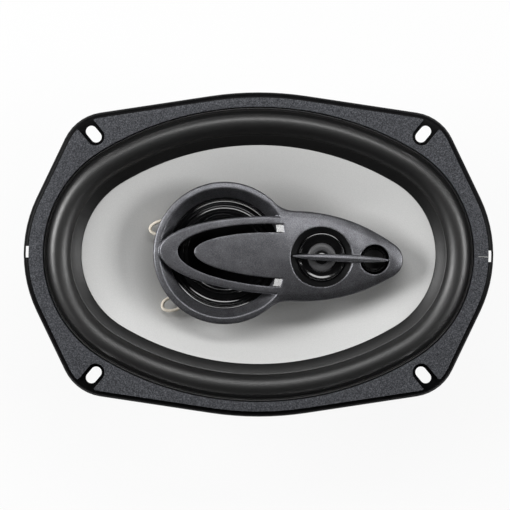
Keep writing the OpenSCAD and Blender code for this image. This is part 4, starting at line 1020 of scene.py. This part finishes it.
def pod_field(x, y, z):
    """Distance outside the cover."""
    ay = np.abs(y)
    rr = np.hypot(x + MID_X, y)
    tail = tail_plan(x, ay)
    hood = hood_plan(x, ay)
    # plan of the whole pod: rim, tail and the two necks between them
    past = (ay * (FILLET_X + MID_X) - (x + MID_X) * FILLET_Y) / math.hypot(FILLET_X + MID_X, FILLET_Y)
    neck = FILLET_R - np.hypot(x - FILLET_X, ay - FILLET_Y)
    neck = np.maximum.reduce([neck, past, x - FILLET_X, 12.0 - ay])
    plan = np.minimum.reduce([rr - MID_RIM_R, np.maximum(tail, -MID_X - x), neck])
    # its top: rim height on the left, crown on the right, and the funnel of the midrange
    top_z = crown_top(x, ay)
    rise = smooth((x + 5) / 17)
    upper = RING_TOP + 0.3 + (top_z - RING_TOP - 0.3) * rise
    upper = upper - BEVEL * (plan + BEVEL_W + np.hypot(plan + BEVEL_W, 0.5)) / 2
    funnel = FUNNEL_LOW + 0.6 + (rr - MID_OPEN_R) * FUNNEL_SLOPE + 12 * smooth((x - 9.5) / 6)
    h = np.clip(0.5 + 0.5 * (upper - funnel) / 0.7, 0, 1)
    skin = upper + (funnel - upper) * h - 0.7 * h * (1 - h)
    lean = np.sqrt(1 + (FUNNEL_SLOPE * h) ** 2)
    block = both(plan, (z - skin) / lean, 0.9)
    block = both(block, MID_OPEN_R - rr, 0.25)
    # hollow below it, with wells for both tweeters and bosses for the screws
    wall = 0.6 + 1.4 * np.clip((rr - MID_OPEN_R) / 4, 0, 1)
    hollow = both(plan + COVER_WALL, z - skin + wall, 0.8)
    wells = np.minimum(
        np.maximum(np.hypot(x - TWEETER_X, y) - TWEETER_OPEN_R - 1.4, TWEETER_TOP + 0.3 - z),
        np.maximum(np.hypot(x - SUPER_X, y) - SUPER_OPEN_R - 1.4, SUPER_TOP - z),
    )
    for a, b in SCREWS:
        wells = np.minimum(wells, np.hypot(x - a, y - b) - BOSS_R)
    shell = np.maximum.reduce([block, -np.maximum(hollow, -wells), POD_SPLIT - z])
    # hood over the midrange
    arch = both(hood, z - top_z, 1.1)
    arch = both(arch, top_z - HOOD_T - z, 0.4)
    arch = np.maximum(arch, x - 17)
    body = either(shell, arch, 0.02 + 0.38 * (1 - smooth((x - 1) / 10)))
    body = both(body, -slot_field(x, y, z), 0.3)
    # mouths of both tweeters and holes for the screws
    body = both(body, -mouth_field(x, y, z), 0.35)
    for a, b in SCREWS:
        body = np.maximum(body, -np.maximum(np.hypot(x - a, y - b) - SCREW_R, z - POD_SPLIT - SCREW_DEPTH))
    # fin over both mouths
    t = np.clip((x - FIN_FROM) / (FIN_TO - FIN_FROM), 0, 1)
    bow = np.maximum(np.sin(math.pi * t), 0)
    w = 0.25 + FIN_HALF * bow**0.55
    fin_top = crown(x) + 0.4 + FIN_RISE * bow**0.6
    fin = both(ay - w, (z - fin_top + ay * FIN_SLOPE) / FIN_LEAN, 0.7 * np.minimum(w, 1))
    fin = np.maximum.reduce([fin, crown(x) - FIN_LOW - z, FIN_FROM - x, x - FIN_TO])
    return either(body, fin, 0.4)


def skin_of(field, low, high, step):
    """Surface nets: one point per crossed cell, pulled onto the zero level of the field."""
    n = [int(math.ceil((h - l) / step)) + 1 for l, h in zip(low, high)]
    axes = [l + step * np.arange(k) for l, k in zip(low, n)]
    v = np.empty(n, np.float32)
    slab = 24
    for i in range(0, n[0], slab):
        v[i:i + slab] = field(*np.meshgrid(axes[0][i:i + slab], axes[1], axes[2], indexing="ij"))
    neg = v < 0
    cells = np.zeros([k - 1 for k in n], np.int8)
    for i, j, k in np.ndindex(2, 2, 2):
        cells += neg[i:n[0] - 1 + i, j:n[1] - 1 + j, k:n[2] - 1 + k]
    crossed = (cells > 0) & (cells < 8)
    ids = np.full(crossed.shape, -1, np.int64)
    where = np.argwhere(crossed)
    ids[crossed] = np.arange(len(where))
    total = np.zeros((len(where), 3))
    count = np.zeros(len(where))
    for axis in range(3):
        for pair in np.ndindex(2, 2):
            c0 = np.insert(pair, axis, 0)
            c1 = np.insert(pair, axis, 1)
            f0, f1 = v[tuple((where + c0).T)], v[tuple((where + c1).T)]
            hit = (f0 < 0) != (f1 < 0)
            point = where + c0 + 0.0
            point[:, axis] += np.where(hit, f0 / np.where(hit, f0 - f1, 1), 0)
            total[hit] += point[hit]
            count[hit] += 1
    pts = np.array(low) + step * total / count[:, None]
    d, rounds = 0.02, 4
    for _ in range(rounds):
        f = field(*pts.T)
        g = np.stack([field(*(pts + e).T) - field(*(pts - e).T) for e in d * np.eye(3)], 1) / (2 * d)
        move = -g * (f / np.maximum((g * g).sum(1), 0.25))[:, None]
        size = np.linalg.norm(move, axis=1)
        move *= np.minimum(1, 0.3 * step / np.maximum(size, 1e-9))[:, None]
        pts += move
    quads = []
    for axis in range(3):
        o = [a for a in range(3) if a != axis]
        a0 = [slice(None)] * 3
        a1 = [slice(None)] * 3
        a0[axis], a1[axis] = slice(0, -1), slice(1, None)
        change = neg[tuple(a0)] != neg[tuple(a1)]
        inner = [slice(None)] * 3
        inner[o[0]] = slice(1, n[o[0]] - 1)
        inner[o[1]] = slice(1, n[o[1]] - 1)
        at = np.argwhere(change[tuple(inner)])
        at[:, o[0]] += 1
        at[:, o[1]] += 1
        ring = []
        for p, q in ((-1, -1), (0, -1), (0, 0), (-1, 0)):
            c = at.copy()
            c[:, o[0]] += p
            c[:, o[1]] += q
            ring.append(ids[tuple(c.T)])
        ring = np.stack(ring, 1)
        flip = neg[tuple(at.T)] if axis != 1 else ~neg[tuple(at.T)]
        ring[~flip] = ring[~flip][:, ::-1]
        quads.append(ring)
    return pts, np.vstack(quads)


def mesh_from_arrays(name, verts_mm, quads, mat):
    mesh = bpy.data.meshes.new(name)
    mesh.vertices.add(len(verts_mm))
    mesh.vertices.foreach_set("co", (np.asarray(verts_mm, float) * MM).ravel())
    mesh.loops.add(quads.size)
    mesh.loops.foreach_set("vertex_index", quads.ravel().astype(np.int32))
    mesh.polygons.add(len(quads))
    mesh.polygons.foreach_set("loop_start", np.arange(0, quads.size, quads.shape[1], dtype=np.int32))
    mesh.update(calc_edges=True)
    mesh.validate()
    mesh.polygons.foreach_set("use_smooth", np.ones(len(mesh.polygons), bool))
    obj = bpy.data.objects.new(name, mesh)
    scene.collection.objects.link(obj)
    mesh.materials.append(mat)
    return obj


def baked(obj):
    """The piece with its modifiers made part of its mesh."""
    bpy.context.view_layer.update()
    dg = bpy.context.evaluated_depsgraph_get()
    mesh = bpy.data.meshes.new_from_object(obj.evaluated_get(dg))
    obj.modifiers.clear()
    old = obj.data
    obj.data = mesh
    bpy.data.meshes.remove(old)


def pod_piece():
    step = 0.4
    pts, quads = skin_of(pod_field, POD_LOW, POD_HIGH, step)
    obj = mesh_from_arrays("pod_moulding", spin(pts), quads, M["pod"])
    less = obj.modifiers.new("fewer_faces", "DECIMATE")
    less.ratio = 0.4
    baked(obj)
    # painted shade: the walls of the slot and both tweeters' mouths lie in shade and are made black, unlike the
    # charcoal of the rest of the moulding; the walls are glossy, the mouths deep black, and the slot's flat ends
    # satin
    for finish in ("gloss", "deep", "satin_black"):
        obj.data.materials.append(M[finish])
    mid = np.empty(3 * len(obj.data.polygons))
    obj.data.polygons.foreach_get("center", mid)
    x, y, z = spin(mid.reshape(-1, 3) / MM, back=True).T
    walls = (np.abs(slot_field(x, y, z)) < ON_WALL) & (z < crown_top(x, np.abs(y)) - 0.35)
    ends = walls & (np.abs(slot_end(x, z)) < ON_WALL)
    mouths = (np.abs(mouth_field(x, y, z)) < ON_WALL) & (z < crown(x) - 1.0)
    index = np.where(ends, 3, np.where(walls, 1, np.where(mouths, 2, 0)))
    obj.data.polygons.foreach_set("use_smooth", ~ends)
    obj.data.polygons.foreach_set("material_index", index.astype(np.int32))
    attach(obj, "frame")
    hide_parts("pod_cover")


pod_piece()


# Floor and light
FLOOR_HALF, FLOOR_GAP, FLOOR_GLOW = 4.0, 0.0002, 0.9


def floor():
    """A matt floor that is nearly white wherever it is seen, also in reflections."""
    mesh = bpy.data.meshes.new("floor")
    z, s = float(cad_low.z) - FLOOR_GAP, FLOOR_HALF
    mesh.from_pydata([(-s, -s, z), (s, -s, z), (s, s, z), (-s, s, z)], [], [(0, 1, 2, 3)])
    obj = bpy.data.objects.new("floor", mesh)
    scene.collection.objects.link(obj)
    mat = bpy.data.materials.new("pale_floor")
    mat.use_nodes = True
    t = mat.node_tree
    t.nodes.clear()

    def larger(a, b):
        n = t.nodes.new("ShaderNodeMath")
        n.operation = "MAXIMUM"
        t.links.new(a, n.inputs[0])
        t.links.new(b, n.inputs[1])
        return n.outputs[0]

    out = t.nodes.new("ShaderNodeOutputMaterial")
    matt = t.nodes.new("ShaderNodeBsdfDiffuse")
    socket(matt, "Color", (0.85, 0.85, 0.85, 1))
    glow = t.nodes.new("ShaderNodeEmission")
    ray = t.nodes.new("ShaderNodeLightPath").outputs
    share = t.nodes.new("ShaderNodeMath")
    share.operation = "MULTIPLY"
    share.inputs[1].default_value = FLOOR_GLOW
    mix = t.nodes.new("ShaderNodeMixShader")
    seen = larger(larger(ray["Is Camera Ray"], ray["Is Glossy Ray"]), ray["Is Transmission Ray"])
    t.links.new(seen, share.inputs[0])
    for i, source in enumerate((share, matt, glow)):
        t.links.new(source.outputs[0], mix.inputs[i])
    t.links.new(mix.outputs[0], out.inputs["Surface"])
    mesh.materials.append(mat)


floor()


LOW_Z = -0.03


def softbox(name, place, size, power, aim=(0.0, 0.0, 0.0)):
    data = bpy.data.lights.new(name, "AREA")
    data.shape = "RECTANGLE"
    data.size, data.size_y = size
    data.energy = power
    obj = bpy.data.objects.new(name, data)
    obj.location = place
    obj.rotation_euler = (Vector(aim) - Vector(place)).to_track_quat("-Z", "Y").to_euler()
    scene.collection.objects.link(obj)


softbox("key_light", (0.03, 0.23, 0.38), (0.4, 0.1), 0.85)
softbox("left_light", (-0.7, 0.17, 0.47), (0.42, 0.3), 5.7)
softbox("right_light", (0.72, 0.03, 0.47), (0.32, 0.3), 3.5)
for side in (-1, 1):
    for name, y in (("low_light", -0.5), ("far_light", 0.5)):
        softbox(name, (side * 0.42, y, LOW_Z), (0.5, 0.05), 1.2, aim=(0.0, 0.0, LOW_Z))

world = bpy.data.worlds.new("studio")
scene.world = world
world.use_nodes = True
sky = world.node_tree.nodes["Background"]
socket(sky, "Color", (1, 1, 1, 1))
socket(sky, "Strength", 0.02)
